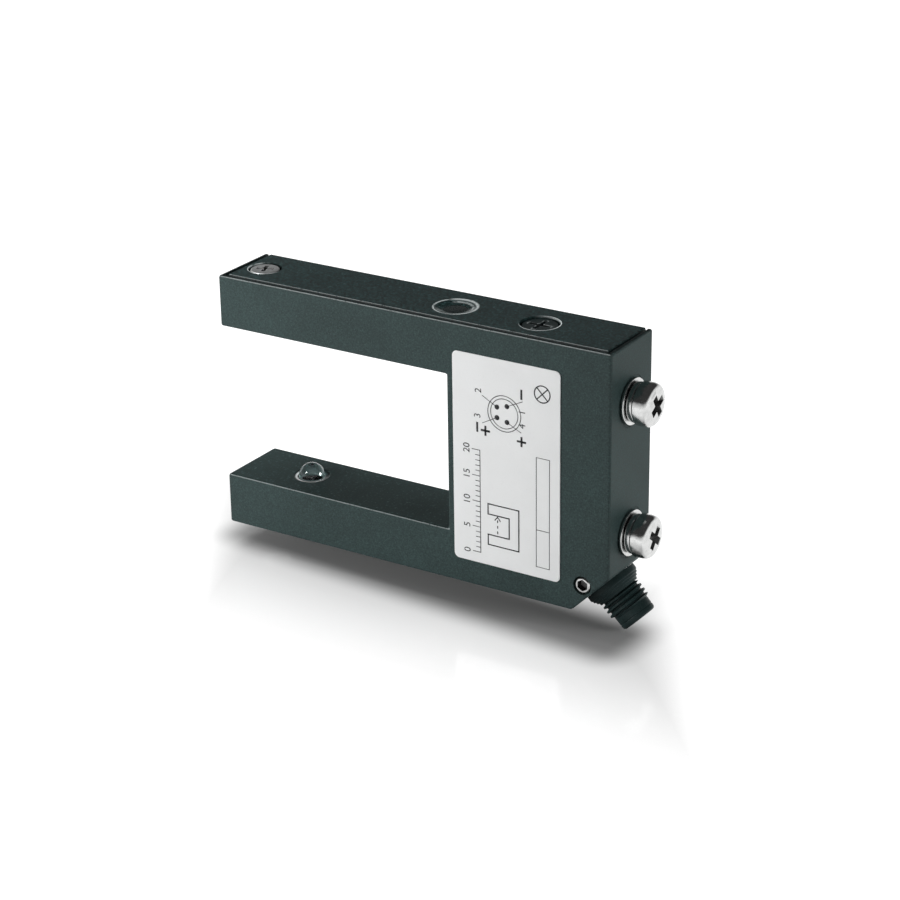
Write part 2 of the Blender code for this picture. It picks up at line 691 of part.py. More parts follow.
def make_indicator():
    flange_top = TOP - COVER_THICKNESS - FIT
    flange_low = flange_top - WINDOW_FLANGE
    window = [
        (0, TOP - DISH_DEPTH - FIT),
        (WINDOW_RADIUS, TOP - DISH_DEPTH - FIT),
        (WINDOW_RADIUS, flange_top),
        (WINDOW_RADIUS + WINDOW_LEDGE, flange_top),
        (WINDOW_RADIUS + WINDOW_LEDGE, flange_low),
        (0, flange_low),
    ]
    place = Matrix.Translation((-INDICATOR_SETBACK, 0, 0))
    turned("indicator_window", window, "smoked_window", place)
    base = UPPER_ARM_BOTTOM + SLOT_WALL + INDICATOR_LEAD_ROOM
    shoulder = base + INDICATOR_FLANGE
    tip = flange_low - FIT
    dome_height = min(INDICATOR_RADIUS, (tip - shoulder) / 2)
    dome = arc((0, tip - dome_height), (INDICATOR_RADIUS, dome_height), 90, 0, 5)
    rim = INDICATOR_RADIUS + INDICATOR_LEDGE
    lamp = [(0, tip), *dome[1:], (INDICATOR_RADIUS, shoulder), (rim, shoulder), (rim, base), (0, base)]
    turned("indicator_lamp", lamp, "clear_epoxy", place, 24)
    make_leads("indicator", -INDICATOR_SETBACK, base, -1, INDICATOR_LEAD_ROOM / 2)


def make_leads(name, x, base, side, rise):
    """Two leads from a component's base, bent over to the circuit board behind it."""
    bend = base + side * rise
    for index, shift in enumerate((-LEAD_PITCH / 2, LEAD_PITCH / 2)):
        points = [
            (x + shift, 0, base + side * FIT),
            (x + shift, 0, base + side * (FIT + rise) / 2),
            (x + shift, LEAD_RADIUS, bend - side * LEAD_RADIUS / 4),
            (x + shift, 3 * LEAD_RADIUS, bend),
            (x + shift, SOLDER_FACE, bend),
        ]
        wire(f"{name}_lead_{index + 1}", points, LEAD_RADIUS, "tinned_wire", 2)


# Light source and receiver

def make_optic(name, face, facing):
    """A clear lamp body with a domed lens. Its leads leave on the side away from the slot."""
    base = -OPTIC_BARREL - OPTIC_FLANGE
    dome = arc((0, 0), OPTIC_RADIUS, 90, 0, 7)
    profile = [
        (0, OPTIC_RADIUS),
        *dome[1:],
        (OPTIC_RADIUS, -OPTIC_BARREL),
        (OPTIC_FLANGE_RADIUS, -OPTIC_BARREL),
        (OPTIC_FLANGE_RADIUS, base),
        (0, base),
    ]
    x = LEFT + OPTIC_INSET
    place = Matrix.Translation((x, 0, face))
    turned(name, profile, "clear_epoxy", place if facing > 0 else place @ FLIPPED)
    rise = OPTIC_LEAD_ROOM / 2 + LEAD_RADIUS
    make_leads(name, x, face + facing * base, -facing, rise)


# Sensitivity adjuster and its trimmer, which turn together on one axis

def make_adjuster():
    top = TOP - ADJUSTER_RECESS
    flange_top = TOP - COVER_THICKNESS - FIT
    flange_low = flange_top - ADJUSTER_FLANGE
    flange_radius = ADJUSTER_HOLE_RADIUS + ADJUSTER_LEDGE
    edge = ADJUSTER_RECESS / 2
    profile = [
        (0, top),
        (ADJUSTER_RADIUS - edge, top),
        (ADJUSTER_RADIUS, top - edge),
        (ADJUSTER_RADIUS, flange_top),
        (flange_radius, flange_top),
        (flange_radius, flange_low),
        (ADJUSTER_STEM_RADIUS, flange_low),
        (ADJUSTER_STEM_RADIUS, STEM_END),
        (0, STEM_END),
    ]
    place = Matrix.Translation((-TRIMMER_SETBACK, 0, 0))
    adjuster = turned("sensitivity_adjuster", profile, "black_plastic", place, 40)
    low = (-BLADE_WIDTH / 2, -BLADE_THICKNESS / 2, STEM_END - BLADE_LENGTH)
    high = (BLADE_WIDTH / 2, BLADE_THICKNESS / 2, STEM_END + ADJUSTER_STEM / 2)
    join(adjuster, "blade", box_mesh("blade", low, high), place)
    length = 2 * (ADJUSTER_RADIUS - CROSS_EDGE)
    cross = place @ Matrix.Translation((0, 0, top))
    cut_cross(adjuster, "adjuster_cross", CROSS_WIDTH, length, CROSS_DEPTH, cross, 1)


def make_trimmer():
    place = Matrix.Translation((-TRIMMER_SETBACK, 0, 0))
    rotor_top = STEM_END - FIT
    rotor_low = rotor_top - ROTOR_THICKNESS
    well_radius = ROTOR_RADIUS + FIT
    low = (-TRIMMER_WIDTH / 2, -well_radius - TRIMMER_WALL, rotor_top - TRIMMER_HEIGHT)
    block = box_mesh("trimmer_body", low, (TRIMMER_WIDTH / 2, SOLDER_FACE, rotor_top))
    trimmer = add_part("trimmer_body", block, "blue_plastic", place)
    round_edges(trimmer, MOULD_EDGE, 1)
    well = cylinder_mesh("trimmer_well", well_radius, rotor_low - FIT, rotor_top + OVER, 32)
    cut(trimmer, "trimmer_well", well, place)
    disc = cylinder_mesh("trimmer_rotor", ROTOR_RADIUS, rotor_low, rotor_top, 32)
    rotor = add_part("trimmer_rotor", disc, "brass", place)
    half_width = BLADE_WIDTH / 2 + FIT
    half_thickness = BLADE_THICKNESS / 2 + FIT
    low = (-half_width, -half_thickness, STEM_END - BLADE_LENGTH - FIT)
    slot = box_mesh("rotor_slot", low, (half_width, half_thickness, rotor_top + OVER))
    cut(rotor, "rotor_slot", slot, place)


# Circuit boards and their components

def make_boards():
    low = BOTTOM + SEAT_DEPTH + FIT
    high = TOP - SEAT_DEPTH - FIT
    arm_floor = UPPER_ARM_BOTTOM + SLOT_WALL + FIT
    arm_left = ARM_POCKET_LEFT + FIT
    outline = [
        (arm_left, high),
        (POCKET_RIGHT - FIT, high),
        (POCKET_RIGHT - FIT, low),
        (POCKET_LEFT + FIT, low),
        (POCKET_LEFT + FIT, arm_floor),
        (arm_left, arm_floor),
    ]
    middle = Matrix.Translation((0, BOARD_FRONT + BOARD_THICKNESS / 2, 0))
    mesh = plate_mesh("main_board", outline, BOARD_THICKNESS)
    add_part("main_board", mesh, "green_circuit_board", middle)
    ceiling = LOWER_ARM_TOP - SLOT_WALL - FIT
    far = (arm_left + EMITTER_BOARD_LENGTH, BOARD_FRONT + BOARD_THICKNESS, ceiling)
    small = box_mesh("emitter_board", (arm_left, BOARD_FRONT, low), far)
    add_part("emitter_board", small, "green_circuit_board")


def component(name, size, x, level):
    """A moulded component on the main board's front, at a share of the housing's height."""
    width, height, thickness = size
    z = BOTTOM + level * HEIGHT
    low = (x - width / 2, SOLDER_FACE - thickness, z - height / 2)
    block = box_mesh(name, low, (x + width / 2, SOLDER_FACE, z + height / 2))
    made = add_part(name, block, "black_plastic")
    round_edges(made, MOULD_EDGE, 1)
    return made


def make_chip():
    middle = (POCKET_LEFT + POCKET_RIGHT) / 2
    chip = component("amplifier_chip", CHIP, middle, CHIP_LEVEL)
    width, length, thickness = CHIP_LEG
    half = CHIP[1] / 2 + length
    z = BOTTOM + CHIP_LEVEL * HEIGHT
    for index in range(CHIP_LEGS):
        x = middle + (index - (CHIP_LEGS - 1) / 2) * CHIP_LEG_PITCH
        low = (x - width / 2, SOLDER_FACE - thickness, z - half)
        name = f"chip_legs_{index + 1}"
        join(chip, name, box_mesh(name, low, (x + width / 2, SOLDER_FACE, z + half)))


def make_capacitor(left):
    top = CAPACITOR_HEIGHT
    edge = CAPACITOR_BASE
    base_radius = CAPACITOR_RADIUS + CAPACITOR_BASE
    can = [
        (0, top),
        (CAPACITOR_RADIUS - edge, top),
        (CAPACITOR_RADIUS, top - edge),
        (CAPACITOR_RADIUS, CAPACITOR_BASE_HEIGHT),
        (base_radius, CAPACITOR_BASE_HEIGHT),
        (base_radius, 0),
        (0, 0),
    ]
    centre = (left + base_radius, SOLDER_FACE, BOTTOM + CAPACITOR_LEVEL * HEIGHT)
    turned("smoothing_capacitor", can, "aluminium_can", Matrix.Translation(centre) @ FORWARDS, 24)


def make_components():
    left = POCKET_LEFT + FIT + BOARD_EDGE
    right = POCKET_RIGHT - FIT - BOARD_EDGE
    make_chip()
    make_capacitor(left)
    component("voltage_regulator", REGULATOR, right - REGULATOR[0] / 2, POWER_LEVEL)
    component("output_transistor", TRANSISTOR, left + TRANSISTOR[0] / 2, POWER_LEVEL)
    component("protection_diode", DIODE, left + DIODE[0] / 2, DIODE_LEVEL)


def make_emitter_wires():
    """Two wires from the light source's board, along the lower arm, to the main board."""
    start = ARM_POCKET_LEFT + FIT + EMITTER_BOARD_LENGTH - BOARD_EDGE
    lane = BOARD_FRONT - WIRE_LANE
    middle = BOTTOM + (SEAT_DEPTH + ARM_HEIGHT - SLOT_WALL) / 2
    turn_radius = SOLDER_FACE - lane
    end = POCKET_LEFT + 2 * BOARD_EDGE
    for index, side in enumerate((-1, 1)):
        z = middle + side * EMITTER_WIRE_SPREAD
        pad = middle + PAD_SPREAD + side * 2 * EMITTER_WIRE_SPREAD
        leaving = arc((start + turn_radius, SOLDER_FACE), turn_radius, 180, 270, 3)
        arriving = arc((end, SOLDER_FACE), turn_radius, 270, 360, 3)
        points = [(x, y, z) for x, y in leaving]
        points += [(POCKET_LEFT - 2 * BOARD_EDGE, lane, z), (POCKET_LEFT - BOARD_EDGE, lane, z)]
        points += [(x, y, pad) for x, y in arriving]
        colour = ("red_insulation", "black_insulation")[index]
        wire(f"emitter_wire_{index + 1}", points, WIRE_RADIUS, colour)


# Connector, its contacts and wires

def make_connector_shell():
    groove = NOSE_END - NOSE_GROOVE_SETBACK
    edge = 2 * NOSE_GROOVE
    width = COLLAR_RADIUS - THREAD_RADIUS
    height = COLLAR_HEIGHT - COLLAR_STRAIGHT
    collar = arc((THREAD_RADIUS, COLLAR_STRAIGHT), (width, height), 90, 0, 5)
    profile = [
        (SOCKET_RADIUS, NOSE_END),
        (NOSE_RADIUS - edge, NOSE_END),
        (NOSE_RADIUS, NOSE_END - edge),
        (NOSE_RADIUS, groove + NOSE_GROOVE),
        (NOSE_RADIUS - NOSE_GROOVE, groove),
        (NOSE_RADIUS, groove - NOSE_GROOVE),
        (NOSE_RADIUS, THREAD_END),
        (THREAD_RADIUS - edge, THREAD_END),
        (THREAD_RADIUS, THREAD_END - edge),
        *collar,
        (COLLAR_RADIUS, FIT),
        (SHANK_RADIUS, FIT),
        (SHANK_RADIUS, -SHANK_LENGTH),
        (SOCKET_RADIUS, -SHANK_LENGTH),
    ]
    turned("connector_shell", profile, "black_plastic", CONNECTOR_PLACE, 40, closed=True)


def contact_place(index):
    """A contact's place across the connector's axis. Those with positive y lie to the rear."""
    angle = math.radians(45) + index * math.tau / CONTACTS
    circle = SOCKET_RADIUS / 2
    return Vector((circle * math.cos(angle), circle * math.sin(angle), 0))


def make_contacts():
    mesh = cylinder_mesh("connector_insert", SOCKET_RADIUS - FIT, -SHANK_LENGTH, INSERT_FRONT, 32)
    insert = add_part("connector_insert", mesh, "black_plastic", CONNECTOR_PLACE)
    front = NOSE_END - CONTACT_SETBACK
    tip = CONTACT_RADIUS / 2
    pin = [
        (0, front),
        (CONTACT_RADIUS - tip, front),
        (CONTACT_RADIUS, front - tip),
        (CONTACT_RADIUS, -SHANK_LENGTH - CONTACT_TAIL),
        (0, -SHANK_LENGTH - CONTACT_TAIL),
    ]
    for index in range(CONTACTS):
        place = CONNECTOR_PLACE @ Matrix.Translation(contact_place(index))
        name = f"contact_hole_{index + 1}"
        radius = CONTACT_RADIUS + CONTACT_FIT
        hole = cylinder_mesh(name, radius, -SHANK_LENGTH - OVER, INSERT_FRONT + OVER, 12)
        cut(insert, name, hole, place)
        turned(f"contact_{index + 1}", pin, "brass", place, 12)


def make_connector_wires():
    """Wires from the contacts' tails up the passage, each to its own pad on the main board."""
    tail = SHANK_LENGTH + CONTACT_TAIL + FIT
    mouth = (END_BLOCK - CORNER_CUT / 2) * math.sqrt(2)
    for index in range(CONTACTS):
        offset = contact_place(index)
        first = CONNECTOR_PLACE @ (offset + Vector((0, 0, -tail)))
        second = CONNECTOR_PLACE @ (offset + Vector((0, 0, -mouth)))
        rear = offset.y > 0
        outer = offset.x < 0
        pad_x = POCKET_RIGHT - PAD_SPREAD * (1.3 if outer else 2.3)
        pad_z = BOTTOM + END_BLOCK + PAD_SPREAD * ((0.4 if rear else 1.6) + (1 if outer else 0))
        middle = (second + Vector((pad_x, second.y, pad_z + WIRE_RADIUS))) / 2
        near = (pad_x, SOLDER_FACE - WIRE_LANE, pad_z)
        points = [first, second, middle, near, (pad_x, SOLDER_FACE, pad_z)]
        colour = "black_insulation" if rear else "red_insulation"
        wire(f"connector_wire_{index + 1}", points, WIRE_RADIUS, colour)


def make_set_screw():
    outer = THICKNESS / 2 - SET_SCREW_RECESS
    inner = SHANK_RADIUS + FIT
    edge = SET_SCREW_RADIUS / 6
    profile = [
        (0, outer),
        (SET_SCREW_RADIUS - edge, outer),
        (SET_SCREW_RADIUS, outer - edge),
        (SET_SCREW_RADIUS, inner + 2 * edge),
        (SET_SCREW_RADIUS - 2 * edge, inner),
        (0, inner),
    ]
    screw = turned("connector_set_screw", profile, "nickel_plated_steel", set_screw_place(), 24)
    radius = HEX_FLATS / math.sqrt(3)
    socket = cylinder_mesh("hex_socket", radius, outer - HEX_DEPTH, outer + OVER, 6)
    cut(screw, "hex_socket", socket, set_screw_place())


# Mounting screws and washers

def ring_profile(outer, inner, high, low):
    return [(outer, high), (outer, low), (inner, low), (inner, high)]


def make_mount_fasteners(name, z):
    place = Matrix.Translation((RIGHT, 0, z)) @ RIGHTWARDS
    hole = MOUNT_SCREW_RADIUS + FIT
    washer_low = STACK_FIT
    washer_high = washer_low + WASHER_THICKNESS
    washer = ring_profile(WASHER_RADIUS, hole, washer_high, washer_low)
    turned(f"{name}_flat_washer", washer, "nickel_plated_steel", place, 40, closed=True)
    spring_low = washer_high + STACK_FIT
    spring_high = spring_low + SPRING_THICKNESS
    spring = ring_profile(SPRING_RADIUS, hole, spring_high, spring_low)
    ring = turned(f"{name}_spring_washer", spring, "nickel_plated_steel", place, 36, closed=True)
    # The ring is split on a slant, so that its ends can bite.
    half_gap = SPRING_GAP / 2
    gap = box_mesh(f"{name}_split", (0, -half_gap, -OVER), (SPRING_RADIUS + OVER, half_gap, OVER))
    around = Matrix.Rotation(math.radians(110), 4, "Z")
    middle = Matrix.Translation((0, 0, (spring_low + spring_high) / 2))
    slant = Matrix.Rotation(math.radians(35), 4, "X")
    cut(ring, f"{name}_split", gap, place @ around @ middle @ slant)
    seat = spring_high + STACK_FIT
    top = seat + MOUNT_HEAD_HEIGHT
    dome = MOUNT_HEAD_HEIGHT - MOUNT_HEAD_SIDE
    crown = arc((MOUNT_HEAD_RADIUS - dome, top - dome), dome, 90, 0, 4)
    end = seat - MOUNT_SCREW_LENGTH
    point = MOUNT_SCREW_RADIUS / 4
    profile = [(0, top), *crown, (MOUNT_HEAD_RADIUS, seat), (MOUNT_SCREW_RADIUS, seat)]
    profile += [(MOUNT_SCREW_RADIUS, end + point), (MOUNT_SCREW_RADIUS - point, end), (0, end)]
    screw = turned(f"{name}_mounting_screw", profile, "nickel_plated_steel", place, 32)
    cross = place @ Matrix.Translation((0, 0, top)) @ Matrix.Rotation(math.radians(30), 4, "Z")
    length = RECESS_SHARE * 2 * MOUNT_HEAD_RADIUS
    depth = MOUNT_RECESS_DEPTH
    cut_cross(screw, f"{name}_recess", MOUNT_RECESS_WIDTH, length, depth, cross, 0.5)


# Label

def make_label():
    left = SLOT_END + LABEL_FROM_SLOT
    right = RIGHT - LABEL_FROM_RIGHT
    low = BOTTOM + LABEL_FROM_BOTTOM
    high = TOP - LABEL_FROM_TOP
    r = LABEL_ROUND
    outline = arc((right - r, high - r), r, 90, 0, 4) + arc((right - r, low + r), r, 0, -90, 4)
    outline += arc((left + r, low + r), r, -90, -180, 4) + arc((left + r, high - r), r, 180, 90, 4)
    mesh = plate_mesh("label", outline, LABEL_THICKNESS)
    place = Matrix.Translation((0, FRONT - GLUE - LABEL_THICKNESS / 2, 0))
    add_part("label", mesh, "white_label", place)


def shade():
    for made in bpy.data.collections[PARTS].objects:
        if made.type == "MESH" and made.data.polygons:
            made.data.shade_smooth()
            made.data.set_sharp_from_angle(angle=math.radians(35))


def main():
    clear_scene()
    add_collections()
    add_materials()
    make_housing()
    top_cover = make_cover("top_cover", 1, RIGHT - RIM)
    cut_window_dish(top_cover)
    cut_adjuster_hole(top_cover)
    make_cover("bottom_cover", -1, BOTTOM_SEAT_END)
    make_gasket("top_gasket", 1, RIGHT - RIM)
    make_gasket("bottom_gasket", -1, BOTTOM_SEAT_END)
    make_cover_screw("top_cover_screw", 1)
    make_cover_screw("bottom_cover_screw", -1)
    make_indicator()
    make_optic("emitter", LOWER_ARM_TOP, 1)
    make_optic("receiver", UPPER_ARM_BOTTOM, -1)
    make_adjuster()
    make_trimmer()
    make_boards()
    make_components()
    make_emitter_wires()
    make_connector_shell()
    make_contacts()
    make_connector_wires()
    make_set_screw()
    make_mount_fasteners("upper", MOUNT_SPACING / 2)
    make_mount_fasteners("lower", -MOUNT_SPACING / 2)
    make_label()
    shade()


main()
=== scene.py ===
import json
import math

import bmesh
import bpy
import numpy as np
from mathutils import Matrix, Vector

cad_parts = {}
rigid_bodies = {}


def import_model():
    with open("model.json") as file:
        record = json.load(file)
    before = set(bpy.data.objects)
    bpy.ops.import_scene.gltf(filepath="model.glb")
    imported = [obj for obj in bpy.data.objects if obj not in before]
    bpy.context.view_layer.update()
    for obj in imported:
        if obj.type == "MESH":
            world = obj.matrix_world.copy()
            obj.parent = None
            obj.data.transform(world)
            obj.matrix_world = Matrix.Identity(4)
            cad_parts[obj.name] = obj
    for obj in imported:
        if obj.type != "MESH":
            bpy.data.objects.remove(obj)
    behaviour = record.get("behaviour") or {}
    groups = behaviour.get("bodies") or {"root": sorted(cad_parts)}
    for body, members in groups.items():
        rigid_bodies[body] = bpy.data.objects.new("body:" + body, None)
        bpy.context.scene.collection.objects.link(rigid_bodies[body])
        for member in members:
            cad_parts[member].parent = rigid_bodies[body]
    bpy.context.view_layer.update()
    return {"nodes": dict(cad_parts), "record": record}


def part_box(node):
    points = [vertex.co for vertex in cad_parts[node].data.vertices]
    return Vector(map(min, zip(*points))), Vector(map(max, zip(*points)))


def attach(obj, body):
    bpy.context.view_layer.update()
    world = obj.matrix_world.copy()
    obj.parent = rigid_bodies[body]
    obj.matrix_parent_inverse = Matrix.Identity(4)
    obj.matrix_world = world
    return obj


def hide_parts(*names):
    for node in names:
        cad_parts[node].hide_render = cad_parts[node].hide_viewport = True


for leftOver in list(bpy.data.objects):
    bpy.data.objects.remove(leftOver)
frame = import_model()
mm = 0.001
rightwards = Matrix.Rotation(math.radians(90), 4, "Y")  # a piece's own +Z points to the right
forwards = Matrix.Rotation(math.radians(90), 4, "X")    # and here to the front
downwards = Matrix.Rotation(math.radians(180), 4, "X")
housingLow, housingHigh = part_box("housing")
print("frame loaded:", len(frame["nodes"]), "nodes")


# Meshes from grids of points

def placed(points, place):
    turnPart = np.array(place.to_3x3())
    return points @ turnPart.T + np.array(place.translation)


def addObject(name, data):
    made = bpy.data.objects.new(name, data)
    bpy.context.scene.collection.objects.link(made)
    return made


# A piece has the material of its slot, unless another is given.
def addPiece(name, mesh, slot, body="sensor", sharp=35, material=None):
    mesh.polygons.foreach_set("use_smooth", np.ones(len(mesh.polygons), dtype=bool))
    mesh.set_sharp_from_angle(angle=math.radians(sharp))
    piece = addObject(name, mesh)
    mesh.materials.append(material or materials[slot])
    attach(piece, body)
    return piece


# A grid of points, rows along the profile and columns round the piece, becomes a closed skin.
# The last column joins the first. Its map has the way round in U and the length along the profile, in mm, in V.
# The first rows, as many as recess says, are marked as lying in a recess.
def gridMesh(name, points, wrapRows=False, capEnds=False, recess=0):
    rows, columns = points.shape[:2]
    row, column = np.meshgrid(np.arange(rows if wrapRows else rows - 1), np.arange(columns), indexing="ij")
    nextRow, nextColumn = (row + 1) % rows, (column + 1) % columns
    corners = [row * columns + column, row * columns + nextColumn]
    corners += [nextRow * columns + nextColumn, nextRow * columns + column]
    faces = np.stack(corners, axis=-1).reshape(-1, 4).tolist()
    across = np.stack([column, column + 1, column + 1, column], axis=-1) / columns
    steps = np.linalg.norm(np.diff(points[:, 0], axis=0, append=points[:1, 0]), axis=1)
    length = np.concatenate([[0], np.cumsum(steps)]) / mm
    along = np.stack([length[row], length[row], length[row + 1], length[row + 1]], axis=-1)
    flatMap = np.stack([across, along], axis=-1).reshape(-1, 2)
    if capEnds:
        ends = [np.arange(columns)[::-1], (rows - 1) * columns + np.arange(columns)]
        faces += [end.tolist() for end in ends]
        flatMap = np.concatenate([flatMap, np.zeros((2 * columns, 2))])
    mesh = bpy.data.meshes.new(name)
    mesh.from_pydata(points.reshape(-1, 3).tolist(), [], faces)
    mesh.uv_layers.new(name="surface").data.foreach_set("uv", flatMap.ravel())
    inRecess = np.repeat(np.arange(rows) < recess, columns).astype(float)
    mesh.attributes.new("recess", "FLOAT", "POINT").data.foreach_set("value", inRecess)
    shape = bmesh.new()
    shape.from_mesh(mesh)
    bmesh.ops.remove_doubles(shape, verts=shape.verts, dist=1e-8)  # poles and seams become one point
    if shape.calc_volume(signed=True) < 0:
        bmesh.ops.reverse_faces(shape, faces=shape.faces)
    shape.to_mesh(mesh)
    shape.free()
    return mesh


# Each corner (radius, height, easing) in mm becomes a parabola between points that lie
# the easing away from it on its two sides.
def easedProfile(corners, steps=4):
    corners = np.array(corners, dtype=float)
    spots, easing = corners[:, :2], corners[:, 2:]
    before, after = np.roll(spots, 1, axis=0) - spots, np.roll(spots, -1, axis=0) - spots
    before /= np.maximum(np.linalg.norm(before, axis=1, keepdims=True), 1e-9)
    after /= np.maximum(np.linalg.norm(after, axis=1, keepdims=True), 1e-9)
    t = np.linspace(0, 1, steps + 1)[None, :, None]
    start, end = (spots + before * easing)[:, None], (spots + after * easing)[:, None]
    curve = ((1 - t) ** 2 * start + 2 * t * (1 - t) * spots[:, None] + t ** 2 * end).reshape(-1, 2)
    fresh = np.linalg.norm(np.diff(curve, axis=0, prepend=curve[:1] - 1), axis=1) > 1e-6
    return curve[fresh]


def fullTurn(steps):
    return (np.arange(steps) * math.tau / steps)[None, :]


# The profile carried round the axis: x = r cos a, y = r sin a, z = h.
def carriedRound(radius, height, angles):
    radius, height = radius * mm, height * mm
    return np.stack([radius * np.cos(angles), radius * np.sin(angles), height + 0 * angles], axis=-1)


def turnedPiece(name, corners, place, slot, steps=64, closed=False, **more):
    profile = easedProfile(corners)
    points = carriedRound(profile[:, :1], profile[:, 1:], fullTurn(steps))
    return addPiece(name, gridMesh(name, placed(points, place), wrapRows=closed), slot, **more)


# Height of a thread's flank, 1 on the rounded crest and 0 in the root: a cosine of the helix,
# which is height over pitch less the share of a turn, cut off at both ends and eased.
def threadRidge(height, angles, pitch):
    wave = np.clip(0.56 - 0.72 * np.cos(math.tau * (height / pitch) - angles), 0, 1)
    return wave ** 2 * (3 - 2 * wave)


# A ready node's skin with its loose triangles joined and its flat faces made whole, so that edges can be eased.
def finishedCopy(node, name, slot, edge, **more):
    mesh = frame["nodes"][node].data.copy()
    shape = bmesh.new()
    shape.from_mesh(mesh)
    bmesh.ops.remove_doubles(shape, verts=shape.verts, dist=1e-7)
    bmesh.ops.dissolve_limit(shape, angle_limit=math.radians(0.3), verts=shape.verts, edges=shape.edges)
    shape.to_mesh(mesh)
    shape.free()
    mesh.materials.clear()
    piece = addPiece(name, mesh, slot, sharp=32, **more)
    ease = piece.modifiers.new("eased edges", "BEVEL")
    ease.width = edge * mm
    ease.segments = 2
    ease.limit_method = "ANGLE"
    ease.angle_limit = math.radians(32)
    piece.modifiers.new("even shading", "WEIGHTED_NORMAL").keep_sharp = True
    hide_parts(node)
    return piece


# Node groups

# A new node goes into the tree of the sockets that feed it, unless a tree is given.
def addNode(kind, inputs={}, tree=None, **settings):
    feeding = [value for value in inputs.values() if isinstance(value, bpy.types.NodeSocket)]
    tree = tree or feeding[0].id_data
    made = tree.nodes.new("ShaderNode" + kind)
    for key, value in settings.items():
        setattr(made, key, value)
    for key, value in inputs.items():
        if isinstance(value, bpy.types.NodeSocket):
            tree.links.new(value, made.inputs[key])
        else:
            made.inputs[key].default_value = value
    return made


# Each of these makes a function that adds one node and gives its result.
def sumOf(kind):
    return lambda first, second=0.5, clamp=False: addNode(
        "Math", {0: first, 1: second}, operation=kind, use_clamp=clamp).outputs[0]


def vectorSum(kind):
    result = 1 if kind in ("LENGTH", "DOT_PRODUCT") else 0
    return lambda first, second=(0, 0, 0): addNode(
        "VectorMath", {0: first, 1: second}, operation=kind).outputs[result]


times, plus, minus, over, larger, absolute = [
    sumOf(kind) for kind in ("MULTIPLY", "ADD", "SUBTRACT", "DIVIDE", "MAXIMUM", "ABSOLUTE")]
vectorTimes, vectorMinus, vectorLarger, vectorAbsolute, vectorLength, vectorDot = [
    vectorSum(kind) for kind in ("MULTIPLY", "SUBTRACT", "MAXIMUM", "ABSOLUTE", "LENGTH", "DOT_PRODUCT")]


def partsOf(vector):
    return addNode("SeparateXYZ", {0: vector}).outputs


def mapRange(value, fromLow, fromHigh, low, high, soft=False):
    kind = "SMOOTHSTEP" if soft else "LINEAR"
    inputs = {"Value": value, "From Min": fromLow, "From Max": fromHigh, "To Min": low, "To Max": high}
    return addNode("MapRange", inputs, interpolation_type=kind).outputs["Result"]


def mixColour(factor, first, second, blend="MIX"):
    made = addNode("Mix", {0: factor, 6: first, 7: second}, data_type="RGBA", blend_type=blend)
    return made.outputs[2]


def startGroup(name, inputs, outputs):
    tree = bpy.data.node_groups.new(name, "ShaderNodeTree")
    for socket, value in inputs.items():
        kind = "NodeSocketVector" if isinstance(value, tuple) else "NodeSocketFloat"
        tree.interface.new_socket(socket, in_out="INPUT", socket_type=kind).default_value = value
    for socket in outputs:
        tree.interface.new_socket(socket, in_out="OUTPUT", socket_type="NodeSocketFloat")
    return tree, tree.nodes.new("NodeGroupInput").outputs, tree.nodes.new("NodeGroupOutput").inputs


def scaledVector(vector, size):
    factor = over(1.0, size)
    return addNode("VectorMath", {0: vector, "Scale": factor}, operation="SCALE").outputs[0]


# Fine grain of paint or moulded plastic, and its lightest flecks. Size is in metres.
def makeGrainGroup():
    tree, given, out = startGroup("fine grain", {"Vector": (0, 0, 0), "Size": 0.0002}, ["Height", "Fleck"])
    spot = scaledVector(given["Vector"], given["Size"])
    noise = addNode("TexNoise", {"Vector": spot, "Scale": 1.0, "Detail": 3.0, "Roughness": 0.6})
    pits = addNode("TexVoronoi", {"Vector": spot, "Scale": 0.8}, feature="SMOOTH_F1")
    half = times(pits.outputs["Distance"], 0.5)
    tree.links.new(plus(noise.outputs[0], half), out["Height"])
    tree.links.new(mapRange(noise.outputs[0], 0.56, 0.74, 0.0, 1.0, True), out["Fleck"])
    return tree


# Slow change over a surface, from Low to High.
def makeCloudGroup():
    inputs = {"Vector": (0, 0, 0), "Size": 0.01, "Low": 0.0, "High": 1.0}
    tree, given, out = startGroup("slow change", inputs, ["Value"])
    spot = scaledVector(given["Vector"], given["Size"])
    noise = addNode("TexNoise", {"Vector": spot, "Scale": 1.0, "Detail": 4.0, "Roughness": 0.55})
    value = mapRange(noise.outputs[0], 0.32, 0.68, given["Low"], given["High"])
    tree.links.new(value, out["Value"])
    return tree


# A mask of patches that cover about the given share of a line, each about Size long.
def patchyMask(vector, size, share):
    spot = scaledVector(vector, size)
    noise = addNode("TexNoise", {"Vector": spot, "Scale": 1.0, "Detail": 5.0, "Roughness": 0.7}).outputs[0]
    start = minus(0.72, times(share, 0.5))
    return mapRange(minus(noise, start), 0.0, 0.16, 0.0, 1.0, True)


